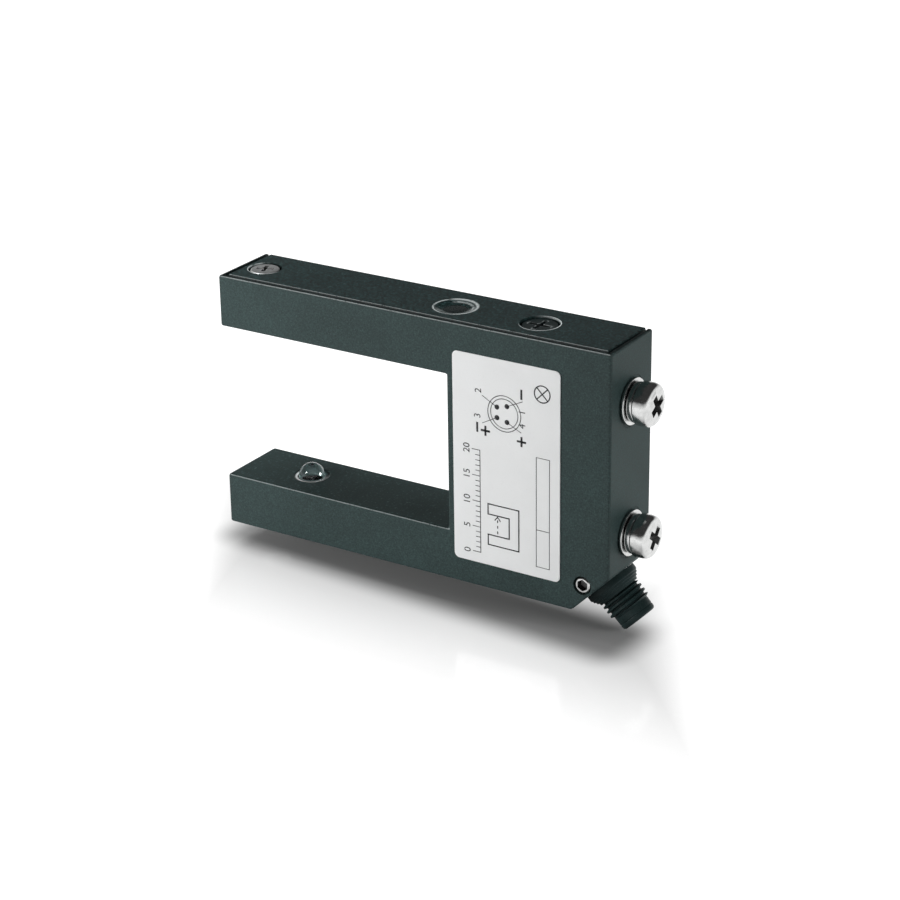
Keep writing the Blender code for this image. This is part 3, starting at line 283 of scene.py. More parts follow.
# Broken lines along the edges of a box: two of its planes come within Width of the point, and the third
# direction lies inside the box. Uprights weighs the four upright edges, Crosswise those from front to back.
def makeEdgeGroup():
    inputs = {"Vector": (0, 0, 0), "Middle": (0, 0, 0), "Half": (1, 1, 1)}
    inputs |= {"Width": 0.0003, "Break": 0.001, "Share": 0.5, "Uprights": 1.0, "Crosswise": 1.0}
    tree, given, out = startGroup("edge lines", inputs, ["Line"])
    shifted = vectorMinus(given["Vector"], given["Middle"])
    folded = vectorAbsolute(shifted)
    past = vectorMinus(folded, given["Half"])
    near = vectorAbsolute(past)
    close = [mapRange(part, 0.0, given["Width"], 1.0, 0.0, True) for part in partsOf(near)]
    inside = [mapRange(part, 0.0, given["Width"], 1.0, 0.0) for part in partsOf(past)]
    lines = []
    for along in range(3):
        pair = times(close[along - 1], close[along - 2])
        lines.append(times(pair, inside[along]))
    lines[1] = times(lines[1], given["Crosswise"])
    lines[2] = times(lines[2], given["Uprights"])
    line = larger(larger(lines[0], lines[1]), lines[2])
    patches = patchyMask(given["Vector"], given["Break"], given["Share"])
    tree.links.new(times(line, patches), out["Line"])
    return tree


# Broken lines round a hole whose axis is upright: the distance from the axis comes within Width of Radius.
# A Towards other than nought leaves the line on that side of the hole, the less of it the longer Towards is.
def makeRimGroup():
    inputs = {"Vector": (0, 0, 0), "Middle": (0, 0, 0), "Radius": 0.003, "Width": 0.0002}
    inputs |= {"Break": 0.001, "Share": 0.5, "Towards": (0, 0, 0)}
    tree, given, out = startGroup("rim lines", inputs, ["Line"])
    shifted = vectorMinus(given["Vector"], given["Middle"])
    flat = vectorTimes(shifted, (1, 1, 0))
    far = vectorLength(flat)
    aside = absolute(minus(far, given["Radius"]))
    height = absolute(partsOf(shifted)[2])
    ring = mapRange(aside, 0.0, given["Width"], 1.0, 0.0, True)
    level = mapRange(height, given["Width"], times(given["Width"], 3.0), 1.0, 0.0, True)
    patches = patchyMask(given["Vector"], given["Break"], given["Share"])
    turned = vectorDot(flat, given["Towards"])
    side = plus(1.0, over(turned, given["Radius"]), True)
    line = times(times(ring, level), patches)
    tree.links.new(times(line, side), out["Line"])
    return tree


# Hairlines in two directions: the narrow band where a stretched noise passes its middle.
def makeScratchGroup():
    inputs = {"Vector": (0, 0, 0), "Size": 0.001, "Share": 0.5}
    tree, given, out = startGroup("hairlines", inputs, ["Mask"])
    spot = scaledVector(given["Vector"], given["Size"])
    lines = []
    for stretch, offset in (((0.25, 3.0, 1.1), 3.0), ((2.6, 0.3, 0.5), 11.0)):
        turned = addNode("VectorRotate", {"Vector": spot, "Angle": 0.4 * offset}).outputs[0]
        long = vectorTimes(turned, stretch)
        noise = addNode("TexNoise", {"Vector": long, "Scale": 1.0, "Detail": 2.0}).outputs[0]
        away = absolute(minus(noise, 0.5))
        lines.append(mapRange(away, 0.0, 0.012, 1.0, 0.0, True))
    both = larger(lines[0], lines[1])
    tree.links.new(times(both, given["Share"]), out["Mask"])
    return tree


# Marks left by turning: a one-way noise along the profile. It reads the piece's own map, in mm.
def makeTurningGroup():
    tree, given, out = startGroup("turning marks", {"Map": (0, 0, 0), "Pitch": 0.1}, ["Height"])
    parts = partsOf(given["Map"])
    way = over(parts[1], given["Pitch"])
    noise = addNode("TexNoise", {"W": way, "Scale": 1.0, "Detail": 2.0}, noise_dimensions="1D")
    tree.links.new(noise.outputs[0], out["Height"])
    return tree


grain = makeGrainGroup()
clouds = makeCloudGroup()
edgeLines = makeEdgeGroup()
rimLines = makeRimGroup()
hairlines = makeScratchGroup()
turningMarks = makeTurningGroup()
print("node groups made")


# Materials

def startMaterial(name, **sockets):
    material = bpy.data.materials.new(name)
    material.use_nodes = True
    tree = material.node_tree
    shader = tree.nodes["Principled BSDF"]
    for socket, value in sockets.items():
        shader.inputs[socket.replace("_", " ")].default_value = value
    return material, addNode("TexCoord", tree=tree).outputs


def useGroup(group, **inputs):
    return addNode("Group", inputs, node_tree=group).outputs


# Gives a material its colour, its roughness and a bump of some height, strength and depth in metres.
def dress(material, tone, rough, height, strength, depth):
    tree = material.node_tree
    bump = addNode("Bump", {"Height": height, "Strength": strength, "Distance": depth}).outputs[0]
    for socket, value in {"Base Color": tone, "Roughness": rough, "Normal": bump}.items():
        tree.links.new(value, tree.nodes["Principled BSDF"].inputs[socket])
    return material


# Tones of the marks: wear_and_highlight is pale worn paint that also stands in for a painted highlight,
# painted_highlight is a painted highlight, painted_shade is painted shade.
markTones = {"wear_and_highlight": (0.78, 0.84, 0.84, 1), "painted_highlight": (0.85, 0.87, 0.87, 1), "painted_shade": (0.003, 0.005, 0.005, 1)}


# Marks on a coloured surface: worn lines, painted highlights and painted shade. Each names its tone, its group, how
# strong it is and the group's values.
def addMarks(spot, tone, marks):
    for kind, group, strength, values in marks:
        line = useGroup(group, Vector=spot, **values)["Line"]
        tone = mixColour(times(line, strength), tone, markTones[kind])
    return tone


# Fine textured paint on cast metal, with pale lines along edges that are worn paint and painted highlight, and dark
# lines of painted shade in the grooves and along edges.
def makePaint(name, colour, marks, **chosen):
    look = {
        "grain": 0.00026, "grainDepth": 0.00004, "grainStrength": 0.4, "speckle": 0.34, "fleck": 0.22,
        "roughness": (0.44, 0.64), "shine": 0.2, "dishRoughness": 0.16, "dishes": [],
        "dust": 0.75, "dustSize": 0.00055, "dustTone": 3.2,  # pale specks on what faces up
    } | chosen
    material, spots = startMaterial(name, Specular_IOR_Level=look["shine"])
    spot = spots["Object"]
    fine = useGroup(grain, Vector=spot, Size=look["grain"])
    slow = useGroup(clouds, Vector=spot, Size=0.014)["Value"]
    base = np.array(colour)
    tone = mixColour(slow, (*(base * 0.88), 1), (*(base * 1.12), 1))
    lift = mapRange(fine["Height"], 0.5, 1.0, 1 - look["speckle"], 1 + look["speckle"])
    tone = mixColour(1.0, tone, lift, "MULTIPLY")
    fleck = times(fine["Fleck"], look["fleck"])
    tone = mixColour(fleck, tone, (*(base * 3.2), 1))
    facing = partsOf(spots["Normal"])[2]
    settled = useGroup(grain, Vector=spot, Size=look["dustSize"])["Fleck"]
    dusty = times(settled, mapRange(facing, 0.75, 0.95, 0.0, look["dust"]))
    tone = mixColour(dusty, tone, (*(base * look["dustTone"]), 1))
    tone = addMarks(spot, tone, marks)
    rough = mapRange(fine["Height"], 0.3, 1.0, *look["roughness"])
    height = fine["Height"]
    for dish in look["dishes"]:
        grainy = minus(1.0, useGroup(rimLines, Vector=spot, **dish)["Line"])
        away = minus(rough, look["dishRoughness"])
        rough = plus(look["dishRoughness"], times(away, grainy))
        height = times(height, grainy)
    return dress(material, tone, rough, height, look["grainStrength"], look["grainDepth"])


# Plated steel with fine turning marks, hairlines and slight stains. Recesses are darkened as painted shade.
def makeNickel(name, colour=(0.60, 0.605, 0.60), roughness=(0.12, 0.24), turning=0.12, dents=1.0):
    material, spots = startMaterial(name, Metallic=1.0)
    spot = spots["Object"]
    slow = useGroup(clouds, Vector=spot, Size=0.0012)["Value"]
    lines = useGroup(hairlines, Vector=spot, Size=0.0009, Share=0.7)["Mask"]
    recessShade = addNode("Attribute", tree=material.node_tree, attribute_name="recess").outputs["Fac"]
    base = np.array(colour)
    tone = mixColour(slow, (*(base * 0.84), 1), (*(base * 1.05), 1))
    tone = mixColour(times(lines, 0.3), tone, (*(base * 0.55), 1))
    tone = mixColour(times(recessShade, 0.86), tone, (*(base * 0.08), 1))
    rough = mapRange(plus(slow, lines), 0.0, 1.6, *roughness)
    rough = plus(rough, times(recessShade, 0.2))
    marks = useGroup(turningMarks, Map=spots["UV"], Pitch=turning)["Height"]
    fineMarks = minus(marks, times(lines, 0.5))
    waves = addNode("TexNoise", {"Vector": spot, "Scale": 850.0, "Detail": 1.0}).outputs[0]
    height = plus(times(waves, dents), times(fineMarks, 0.06))
    return dress(material, tone, rough, height, 1.0, 0.00004)


# Moulded plastic or rubber: fine pits, slow change of tone and a little dust.
def makeMoulded(name, colour, roughness=(0.35, 0.5), size=0.00015, depth=0.00001, shine=0.5, dust=0.08, marks=()):
    material, spots = startMaterial(name, Specular_IOR_Level=shine)
    spot = spots["Object"]
    fine = useGroup(grain, Vector=spot, Size=size)
    slow = useGroup(clouds, Vector=spot, Size=0.004)["Value"]
    base = np.array(colour)
    tone = mixColour(slow, (*(base * 0.8), 1), (*(base * 1.25), 1))
    specks = times(fine["Fleck"], dust)
    tone = mixColour(specks, tone, (0.35, 0.36, 0.36, 1))
    tone = addMarks(spot, tone, marks)
    rough = mapRange(fine["Height"], 0.3, 1.0, *roughness)
    return dress(material, tone, rough, fine["Height"], 0.3, depth)


# Clear resin with a faint cloud in its surface.
def makeClear(name, tint=(0.97, 0.98, 0.99, 1), roughness=(0.0, 0.03)):
    material, spots = startMaterial(name, Transmission_Weight=1.0, IOR=1.5)
    spot = spots["Object"]
    slow = useGroup(clouds, Vector=spot, Size=0.002)["Value"]
    lines = useGroup(hairlines, Vector=spot, Size=0.0015, Share=0.5)["Mask"]
    darker = [0.9 * value for value in tint[:3]]
    tone = mixColour(slow, tint, (*darker, 1))
    rough = mapRange(plus(slow, lines), 0.0, 2.0, *roughness)
    return dress(material, tone, rough, lines, 0.1, 0.000005)


# Board lacquer over copper tracks, with pale drawn outlines.
def makeBoard(name):
    material, spots = startMaterial(name, Specular_IOR_Level=0.5)
    spot = spots["Object"]
    flat = addNode("Mapping", {"Vector": spot, "Rotation": (math.radians(90), 0, 0)}).outputs[0]
    tracks = addNode("TexBrick", {
        "Vector": flat, "Scale": 1.0, "Brick Width": 0.0042, "Row Height": 0.0016, "Mortar Size": 0.00035,
        "Mortar Smooth": 0.1, "Color1": (0, 0, 0, 1), "Color2": (0, 0, 0, 1), "Mortar": (1, 1, 1, 1),
    }, offset=0.37).outputs["Fac"]
    slow = useGroup(clouds, Vector=spot, Size=0.006)["Value"]
    tone = mixColour(slow, (0.012, 0.10, 0.045, 1), (0.02, 0.15, 0.07, 1))
    tone = mixColour(times(tracks, 0.7), tone, (0.05, 0.26, 0.11, 1))
    return dress(material, tone, mapRange(slow, 0.0, 1.0, 0.28, 0.42), tracks, 0.4, 0.00003)


# White film with a faint weave, and a little greyer in slow patches.
def makeLabelFilm(name):
    material, spots = startMaterial(name, Specular_IOR_Level=0.4)
    spot = spots["Object"]
    fine = useGroup(grain, Vector=spot, Size=0.0003)
    slow = useGroup(clouds, Vector=spot, Size=0.009)["Value"]
    tone = mixColour(slow, (0.82, 0.83, 0.83, 1), (0.86, 0.87, 0.87, 1))
    tone = mixColour(times(fine["Fleck"], 0.12), tone, (0.6, 0.6, 0.6, 1))
    rough = mapRange(fine["Height"], 0.3, 1.0, 0.38, 0.5)
    return dress(material, tone, rough, fine["Height"], 0.12, 0.00001)


slotLow, slotHigh, slotEnd = -16.6 * mm, 13.4 * mm, -33.2 * mm
coverLow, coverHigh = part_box("top_cover")
paintLook = {  # in mm: how far the boxes reach, and how wide the lines are
    "far": 100.0, "paintedGrooveShade": 0.52, "rimWidth": 0.62, "shade": 0.5, "line": 0.3, "coverLine": 0.18, "corner": 0.24,
}
far = paintLook["far"] * mm


# A box far larger than the part, placed so that just one of its edges, to the front and on top, touches it.
def frontEdge(front, top):
    return {"Middle": (0, front + far, top - far), "Half": (2 * far, far, far)}


# A box whose top edges are the ones that show, given by its left, right, front, back and top.
def topEdges(left, right, front, back, top):
    half = ((right - left) / 2, (back - front) / 2, far)
    return {"Middle": ((left + right) / 2, (front + back) / 2, top - far), "Half": half}


def rimAt(x, radius, share, width=0.2, level=None):
    height = housingHigh.z if level is None else level
    return {"Middle": (x * mm, 0, height), "Radius": radius * mm, "Width": width * mm, "Share": share}


line, coverLine, shade = [{"Width": paintLook[key] * mm} for key in ("line", "coverLine", "shade")]
# Painted shade in the groove round the cover: a dark line just inside the casting's top edges.
paintedGrooveShade = {"Width": paintLook["rimWidth"] * mm, "Share": 1.6, "Break": 0.004}
inset = paintLook["paintedGrooveShade"] * mm
left, right, front, back = housingLow.x, housingHigh.x, housingLow.y, housingHigh.y
slotFront = {"Middle": (slotEnd - far, front + far, slotLow - far), "Half": (far, far, far)}
slotFront |= {"Uprights": 0.0, "Crosswise": 0.0}
# Painted shade: a dark line down the front right-hand corner.
cornerLine = {"Middle": (right - far, front + far, 0), "Half": (far, far, 2 * far)}
cornerLine |= {"Width": paintLook["corner"] * mm, "Share": 1.5, "Break": 0.006}
# Breaks in the pale lines on the front top edge and the slot's front edge, which are worn paint and painted highlight.
wearAndHighlight = {"Share": 0.82, "Break": 0.0004}
# Painted shade: a dark band along the casting's outer top edges.
outerEdges = topEdges(left, right, front, back, housingHigh.z) | shade
innerEdges = topEdges(left + inset, right - inset, front + inset, back + far, housingHigh.z)
castingMarks = [
    ("painted_shade", edgeLines, 0.3, outerEdges | {"Share": 1.4, "Uprights": 0.0}),
    ("painted_shade", edgeLines, 0.9, innerEdges | paintedGrooveShade),
    ("painted_shade", edgeLines, 0.6, cornerLine),
    ("wear_and_highlight", edgeLines, 1.0, frontEdge(front, housingHigh.z) | line | wearAndHighlight),
    ("wear_and_highlight", edgeLines, 1.0, slotFront | line | wearAndHighlight),
]
highlightRight, highlightFrontLeft = (1.2, -0.2, 0), (-0.9, -1.3, 0)  # the sides on which rims get a painted highlight: to the right, and to the front and left
indicatorX, adjusterX, coverScrewX, lensX = -35.8, -18.35, -77.7, -68.7  # in mm
# The cover's marks: a pale line on its front edge, worn paint and painted highlight, and painted highlights in arcs on
# the rims of the indicator bowl, the adjuster's hole and the cover screw's seat.
coverFront = frontEdge(coverLow.y + 0.55 * mm, coverHigh.z) | coverLine
coverMarks = [
    ("wear_and_highlight", edgeLines, 0.75, coverFront | {"Share": 0.8, "Break": 0.0008}),
    ("wear_and_highlight", rimLines, 0.6, rimAt(indicatorX, 4.0, 0.85, 0.45) | {"Towards": (2.6, 1.6, 0), "Break": 0.0006}),
    ("wear_and_highlight", rimLines, 0.35, rimAt(indicatorX, 3.2, 0.8, 0.4) | {"Towards": (2.6, 1.2, 0), "Break": 0.0008}),
    ("wear_and_highlight", rimLines, 0.6, rimAt(indicatorX, 4.0, 0.8, 0.25) | {"Towards": (-3.0, -4.4, 0)}),
    ("wear_and_highlight", rimLines, 1.0, rimAt(adjusterX, 3.76, 1.3, 0.14) | {"Towards": highlightRight}),
    ("wear_and_highlight", rimLines, 0.7, rimAt(coverScrewX, 3.25, 0.7, 0.14) | {"Towards": highlightFrontLeft}),
]
# The adjuster's marks: pale lines along its cross and an arc on the front left of its rim, worn plastic and painted
# highlight.
knobMarks = []
for a, b in ((2.4, 0.4), (0.4, 2.4)):
    arm = topEdges(*[value * mm for value in (adjusterX - a, adjusterX + a, -b, b, 23.1)])
    knobMarks.append(("wear_and_highlight", edgeLines, 0.35, arm | {"Width": 0.16 * mm, "Share": 0.6}))
knobMarks.append(("wear_and_highlight", rimLines, 0.5, rimAt(adjusterX, 3.2, 1.1, 0.12) | {"Towards": highlightFrontLeft}))
# A painted highlight: a pale crescent on the front-left side of the lens rim.
lensHighlight = [("painted_highlight", rimLines, 0.95, rimAt(lensX, 2.98, 1.6, 0.4, slotLow) | {"Towards": (-1.3, -1.9, 0)})]
coverLook = {"grain": 0.00045, "speckle": 0.85, "fleck": 0.4, "dishes": [rimAt(indicatorX, 2.9, 1.6, 1.6)]}
materials = {
    "painted_casting": makePaint("painted casting", (0.027, 0.046, 0.045), castingMarks),
    # The cover's colour is the casting's paint darkened, painted shade for the top lying darker than the front.
    "painted_cover": makePaint("painted cover", (0.0140, 0.0285, 0.0285), coverMarks, **coverLook),
    "black_rubber": makeMoulded("black rubber", (0.02, 0.02, 0.02), (0.7, 0.9), 0.0003, 0.00003, 0.3),
    "nickel_plated_steel": makeNickel("nickel plated steel"),
    "clear_epoxy": makeClear("clear epoxy", (0.70, 0.74, 0.74, 1)),
    "smoked_window": makeMoulded("smoked window", (0.008, 0.013, 0.013), (0.22, 0.32), 0.0004, 0.000004, 0.12, 0.02),
    "black_plastic": makeMoulded("black plastic", (0.010, 0.021, 0.021), (0.4, 0.55), shine=0.18),
    "blue_plastic": makeMoulded("blue plastic", (0.02, 0.09, 0.38), (0.35, 0.5)),
    "brass": makeNickel("brass", (0.83, 0.62, 0.28), (0.16, 0.3), 0.2),
    "tinned_wire": makeNickel("tinned wire", (0.72, 0.72, 0.74), (0.2, 0.4), 0.3),
    "green_circuit_board": makeBoard("green circuit board"),
    "white_label": makeLabelFilm("white label film"),
    "red_insulation": makeMoulded("red insulation", (0.42, 0.02, 0.015), (0.4, 0.55)),
    "black_insulation": makeMoulded("black insulation", (0.016, 0.016, 0.017), (0.4, 0.55)),
    "aluminium_can": makeNickel("aluminium can", (0.78, 0.79, 0.8), (0.22, 0.4), 0.15),
}
knobPlastic = makeMoulded("adjuster plastic", (0.011, 0.019, 0.019), (0.45, 0.6), shine=0.25, marks=knobMarks)
dullZinc = makeNickel("dull zinc", (0.86, 0.87, 0.87), (0.46, 0.62), dents=0.8)
lensRim = makeMoulded("lens rim", (0.013, 0.022, 0.022), (0.08, 0.2), shine=0.4, marks=lensHighlight)
# The lens floor's colour is lightened about threefold, painted light for the light that the clear dome keeps from it.
lensFloorPaintedLight = makeMoulded("lens floor painted light", (0.11, 0.17, 0.17), (0.4, 0.5))
labelInk = makeMoulded("label ink", (0.012, 0.012, 0.014), (0.45, 0.6), 0.0001, 0.000004, 0.4, 0.02)
for part in frame["record"]["subparts"]:
    for holder in frame["nodes"][part["node"]].material_slots:
        holder.material = materials[part["material_slot"]]
print("materials made:", len(materials))


# Housing and covers

finishedCopy("housing", "housingCasting", "painted_casting", 0.12)
topPlate = finishedCopy("top_cover", "topCoverPlate", "painted_cover", 0.1)
plateEdge = {"reach": 0.45, "depth": 0.4, "front": 0.5, "left": 0.2, "right": 0.35}  # upper edges drawn in, in mm
bowl = {"outer": 4.42, "inner": 2.2, "depth": 0.5, "room": 4.3, "lower": 0.4}
count = len(topPlate.data.vertices)
spots = np.empty(count * 3)
topPlate.data.vertices.foreach_get("co", spots)
spots = spots.reshape(-1, 3)
upper = spots[:, 2] > coverHigh.z - plateEdge["depth"] * mm
reach = plateEdge["reach"] * mm
spots[upper & (spots[:, 1] < coverLow.y + reach), 1] += plateEdge["front"] * mm
spots[upper & (spots[:, 0] < coverLow.x + reach), 0] += plateEdge["left"] * mm
spots[upper & (spots[:, 0] > coverHigh.x - reach), 0] -= plateEdge["right"] * mm
fromBowl = np.hypot(spots[:, 0] - indicatorX * mm, spots[:, 1]) / mm
spots[(fromBowl < bowl["room"]) & (spots[:, 2] > coverHigh.z - 0.7 * mm), 2] -= bowl["lower"] * mm
topPlate.data.vertices.foreach_set("co", spots.ravel())
topPlate.data.update()
# The bowl's wall falls by half a cosine from the rim to the window.
bowlRadii = np.linspace(bowl["outer"], bowl["inner"], 15)
share = (bowlRadii - bowl["inner"]) / (bowl["outer"] - bowl["inner"])
bowlDrop = bowl["depth"] * (1 + np.cos(math.pi * share)) / 2 + 0.01
bowlCorners = [(radius, -drop, 0) for radius, drop in zip(bowlRadii, bowlDrop)]
bowlCorners += [(bowl["inner"], -bowl["depth"] - 0.12, 0), (bowl["outer"] - 0.1, -0.12, 0)]
bowlPlace = Matrix.Translation((indicatorX * mm, 0, coverHigh.z))
turnedPiece("indicatorBowl", bowlCorners, bowlPlace, "painted_cover", 72, True)
finishedCopy("bottom_cover", "bottomCoverPlate", "painted_cover", 0.1)
print("housing and covers finished")


# Screws with a cross recess

# Angles of a star with four arms. Each quarter runs over one arm, and the arm's two corners are among its angles.
def crossAngles(slimness, perSide=6):
    corner = math.atan(slimness)
    side = np.linspace(corner, math.pi / 4, perSide)
    end = np.linspace(-corner, corner, perSide)[1:-1]
    quarter = np.concatenate([-side[::-1], end, side[:-1]])
    return (quarter[None, :] + np.arange(4)[:, None] * math.pi / 2).ravel()


# How far the cross reaches in each direction: the nearer of the arm's end and the arm's side.
def crossReach(angles, halfLength, halfWidth):
    turned = (angles + math.pi / 4) % (math.pi / 2) - math.pi / 4
    side = halfWidth / np.maximum(np.abs(np.sin(turned)), 1e-6)
    return np.minimum(halfLength / np.cos(turned), side)


# A screw from its middle outwards and down. Each row is a mix of a scaled cross and a circle;
# the shank's rows carry the thread.
def crossScrew(name, size, place, replacing, **more):
    angles = crossAngles(size["crossWidth"] / size["crossLength"])[None, :]
    reach = crossReach(angles, size["crossLength"] / 2, size["crossWidth"] / 2)
    top, deep = size["top"], size["crossDepth"]
    rows = [  # share of the cross, radius of the circle, mix of the two, height
        (0.0, 0.0, 0.0, top - deep), (0.30, 0.0, 0.0, top - 0.9 * deep), (0.52, 0.0, 0.0, top - 0.72 * deep),
        (0.90, 0.0, 0.0, top - 0.10 * deep), (0.95, 0.0, 0.0, top - 0.03 * deep), (1.02, 0.0, 0.0, top),
    ]
    flatEnd = size["crownRadius"]
    rows += [(1.02, flatEnd, mix, top - size["crownFall"] * mix ** 2) for mix in (0.2, 0.45, 0.7, 0.88, 1.0)]
    share, circle, mix, height = [np.array(column)[:, None] for column in zip(*rows)]
    radius = (1 - mix) * share * reach + mix * circle
    outside = easedProfile([(flatEnd, top - size["crownFall"], 0), *size["outside"]], 6)[1:]
    radius = np.concatenate([radius, outside[:, :1] + 0 * angles])
    height = np.concatenate([height + 0 * angles, outside[:, 1:] + 0 * angles])
    if "thread" in size:
        outer, pitch, low = size["thread"]
        along = np.arange(outside[-1, 1] - 0.02, low, -pitch / 12)[:, None]
        fade = np.clip((outside[-1, 1] - along) / pitch, 0, 1) * np.clip((along - low) / pitch + 0.3, 0, 1)
        ridge = threadRidge(along, angles, pitch)
        radius = np.concatenate([radius, outer - 0.55 * pitch * (1 - ridge * fade)])
        height = np.concatenate([height, along + 0 * angles])
        low = along[-1, 0]
    else:
        low = outside[-1, 1]
    radius = np.concatenate([radius, 0 * angles])
    height = np.concatenate([height, low + 0 * angles])
    points = placed(carriedRound(radius, height, angles), place)
    piece = addPiece(name, gridMesh(name, points, recess=5), "nickel_plated_steel", **more)
    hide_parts(replacing)


mountingScrew = {
    "top": 5.1, "crossLength": 4.3, "crossWidth": 1.4, "crossDepth": 1.6, "crownRadius": 2.8, "crownFall": 0.16,
    "outside": [(3.65, 4.72, 0.5), (4.0, 3.9, 0.45), (4.0, 2.1, 0.12), (2.0, 2.1, 0.1), (2.0, 1.9, 0)],
    "thread": (2.0, 0.7, -5.4), "spacing": 25.0, "crossTurn": (30.0, 52.0),
}
flatWasher = {"outer": 4.25, "inner": 2.3, "low": 0.1, "high": 0.62, "ease": 0.14}
springWasher = {
    "outer": 3.65, "inner": 2.3, "low": 0.72, "high": 2.0, "ease": 0.18,
    "gap": 0.9, "gapAt": 110.0, "slant": 35.0, "rise": 0.22,
}


# A split ring: an eased four-sided section carried round a turn less the gap. It climbs a little on
# the way, and each height is turned by the slant, so the two ends are parallel and slanted.
def splitRing(name, size, place, replacing):
    outer, inner, low, high, ease = [size[key] for key in ("outer", "inner", "low", "high", "ease")]
    thick = high - low - size["rise"]
    section = easedProfile([(outer, thick, ease), (outer, 0, ease), (inner, 0, ease), (inner, thick, ease)], 3)
    gap = size["gap"] / outer
    turn = np.linspace(gap / 2, math.tau - gap / 2, 96)[:, None] + math.radians(size["gapAt"])
    climb = np.linspace(0, size["rise"], 96)[:, None]
    radius, height = section[None, :, 0], section[None, :, 1]
    twist = (height - thick / 2) * math.tan(math.radians(size["slant"])) / outer
    points = carriedRound(radius + 0 * turn, low + climb + height, turn + twist)
    piece = addPiece(name, gridMesh(name, placed(points, place), capEnds=True), "nickel_plated_steel")
    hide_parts(replacing)


for index, level in enumerate(("upper", "lower")):
    side = 1 - 2 * index
    place = Matrix.Translation((0, 0, side * mountingScrew["spacing"] / 2 * mm)) @ rightwards
    turnedPlace = place @ Matrix.Rotation(math.radians(mountingScrew["crossTurn"][index]), 4, "Z")
    crossScrew(f"{level}MountingScrew", mountingScrew, turnedPlace, f"{level}_mounting_screw")
    outer, inner, low, high, ease = flatWasher.values()
    corners = [(outer, high, ease), (outer, low, ease), (inner, low, ease), (inner, high, ease)]
    washer = turnedPiece(f"{level}FlatWasher", corners, place, "nickel_plated_steel", 72, True)
    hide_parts(f"{level}_flat_washer")
    splitRing(f"{level}SpringWasher", springWasher, place, f"{level}_spring_washer")
coverScrew = {
    "top": -0.02, "crossLength": 3.3, "crossWidth": 0.75, "crossDepth": 0.6, "crownRadius": 2.2, "crownFall": 0.03,
    "outside": [(2.6, -0.06, 0.15), (2.75, -0.3, 0.1), (2.75, -1.2, 0.08), (1.45, -1.2, 0.1), (1.45, -1.4, 0)],
    "thread": (1.45, 0.5, -7.1), "crossTurn": 20.0,
}
for name, face, turn in (("top", housingHigh.z, Matrix()), ("bottom", housingLow.z, downwards)):
    place = Matrix.Translation((coverScrewX * mm, 0, face)) @ turn
    place = place @ Matrix.Rotation(math.radians(coverScrew["crossTurn"]), 4, "Z")
    crossScrew(f"{name}CoverScrew", coverScrew, place, f"{name}_cover_screw", material=dullZinc)
print("screws and washers made")


# Set screw with a six-sided socket: rows go from the socket's floor over a hexagon to the round edge.
setScrew = {"radius": 1.5, "outer": 7.4, "inner": 3.6, "flats": 1.85, "depth": 1.3, "chamfer": 0.2}
angles = fullTurn(72)
hexagon = setScrew["flats"] / 2 / np.cos((angles + math.pi / 6) % (math.pi / 3) - math.pi / 6)
outer, radius, chamfer = setScrew["outer"], setScrew["radius"], setScrew["chamfer"]
rows = [  # share of the hexagon, radius of the circle, height
    (0.0, 0.0, outer - setScrew["depth"] - 0.25), (0.97, 0.0, outer - setScrew["depth"]), (0.98, 0.0, outer - 0.16),
    (1.06, 0.0, outer - 0.02), (0.0, radius - chamfer - 0.04, outer), (0.0, radius - chamfer, outer - 0.02),
    (0.0, radius, outer - chamfer), (0.0, radius, setScrew["inner"] + 0.4), (0.0, radius - 0.5, setScrew["inner"]),
    (0.0, 0.0, setScrew["inner"]),
]
share, circle, height = [np.array(column)[:, None] for column in zip(*rows)]
setLow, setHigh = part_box("connector_set_screw")
place = Matrix.Translation(((setLow.x + setHigh.x) / 2, 0, (setLow.z + setHigh.z) / 2)) @ forwards
points = placed(carriedRound(share * hexagon + circle, height, angles), place)
setPiece = addPiece("setScrew", gridMesh("setScrew", points, recess=3), "nickel_plated_steel")
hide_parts("connector_set_screw")


# Connector: one closed profile from the mouth over the nose, thread and collar, down the shank and up the bore.
connector = {
    "mouth": [(2.7, 8.6, 0.05), (2.8, 8.72, 0.08), (3.45, 8.72, 0.62)],
    "nose": [
        (3.45, 7.72, 0.03), (3.36, 7.66, 0.03), (3.36, 7.58, 0.03), (3.45, 7.52, 0.03),
        (3.45, 6.42, 0.05), (3.45, 6.3, 0),
    ],
    "thread": {"outer": 4.0, "pitch": 1.0, "high": 6.2, "low": 2.75, "depth": 0.55},
    "collar": [
        (3.45, 2.72, 0), (4.02, 2.7, 0.1), (4.15, 2.2, 0.06), (4.42, 2.15, 0.08), (4.52, 1.72, 0.06),
        (4.78, 1.66, 0.08), (4.86, 1.25, 0.05), (5.05, 1.18, 0.08), (5.1, 0.9, 0.06),
        (5.1, 0.03, 0.01), (3.3, 0.03, 0.01),
    ],
    "shank": [(3.3, -4.0, 0.1), (2.7, -4.0, 0.1)],
}
screwed = connector["thread"]
noseRows = easedProfile([*connector["mouth"], *connector["nose"]], 3)
threadHeights = np.arange(screwed["high"], screwed["low"], -screwed["pitch"] / 18)
threadRows = np.stack([np.full_like(threadHeights, screwed["outer"]), threadHeights], axis=-1)
backRows = easedProfile([*connector["collar"], *connector["shank"]], 3)
profile = np.concatenate([noseRows[:-1], threadRows, backRows])
angles = fullTurn(96)
inThread = np.zeros((len(profile), 1))
inThread[len(noseRows) - 1:len(noseRows) - 1 + len(threadRows)] = 1
level = profile[:, 1:]
ends = np.clip((screwed["high"] - level) / 0.35, 0, 1) * np.clip((level - screwed["low"]) / 0.35, 0, 1)
ridge = threadRidge(level, angles, screwed["pitch"])
radius = profile[:, :1] - inThread * screwed["depth"] * (1 - ridge * ends)
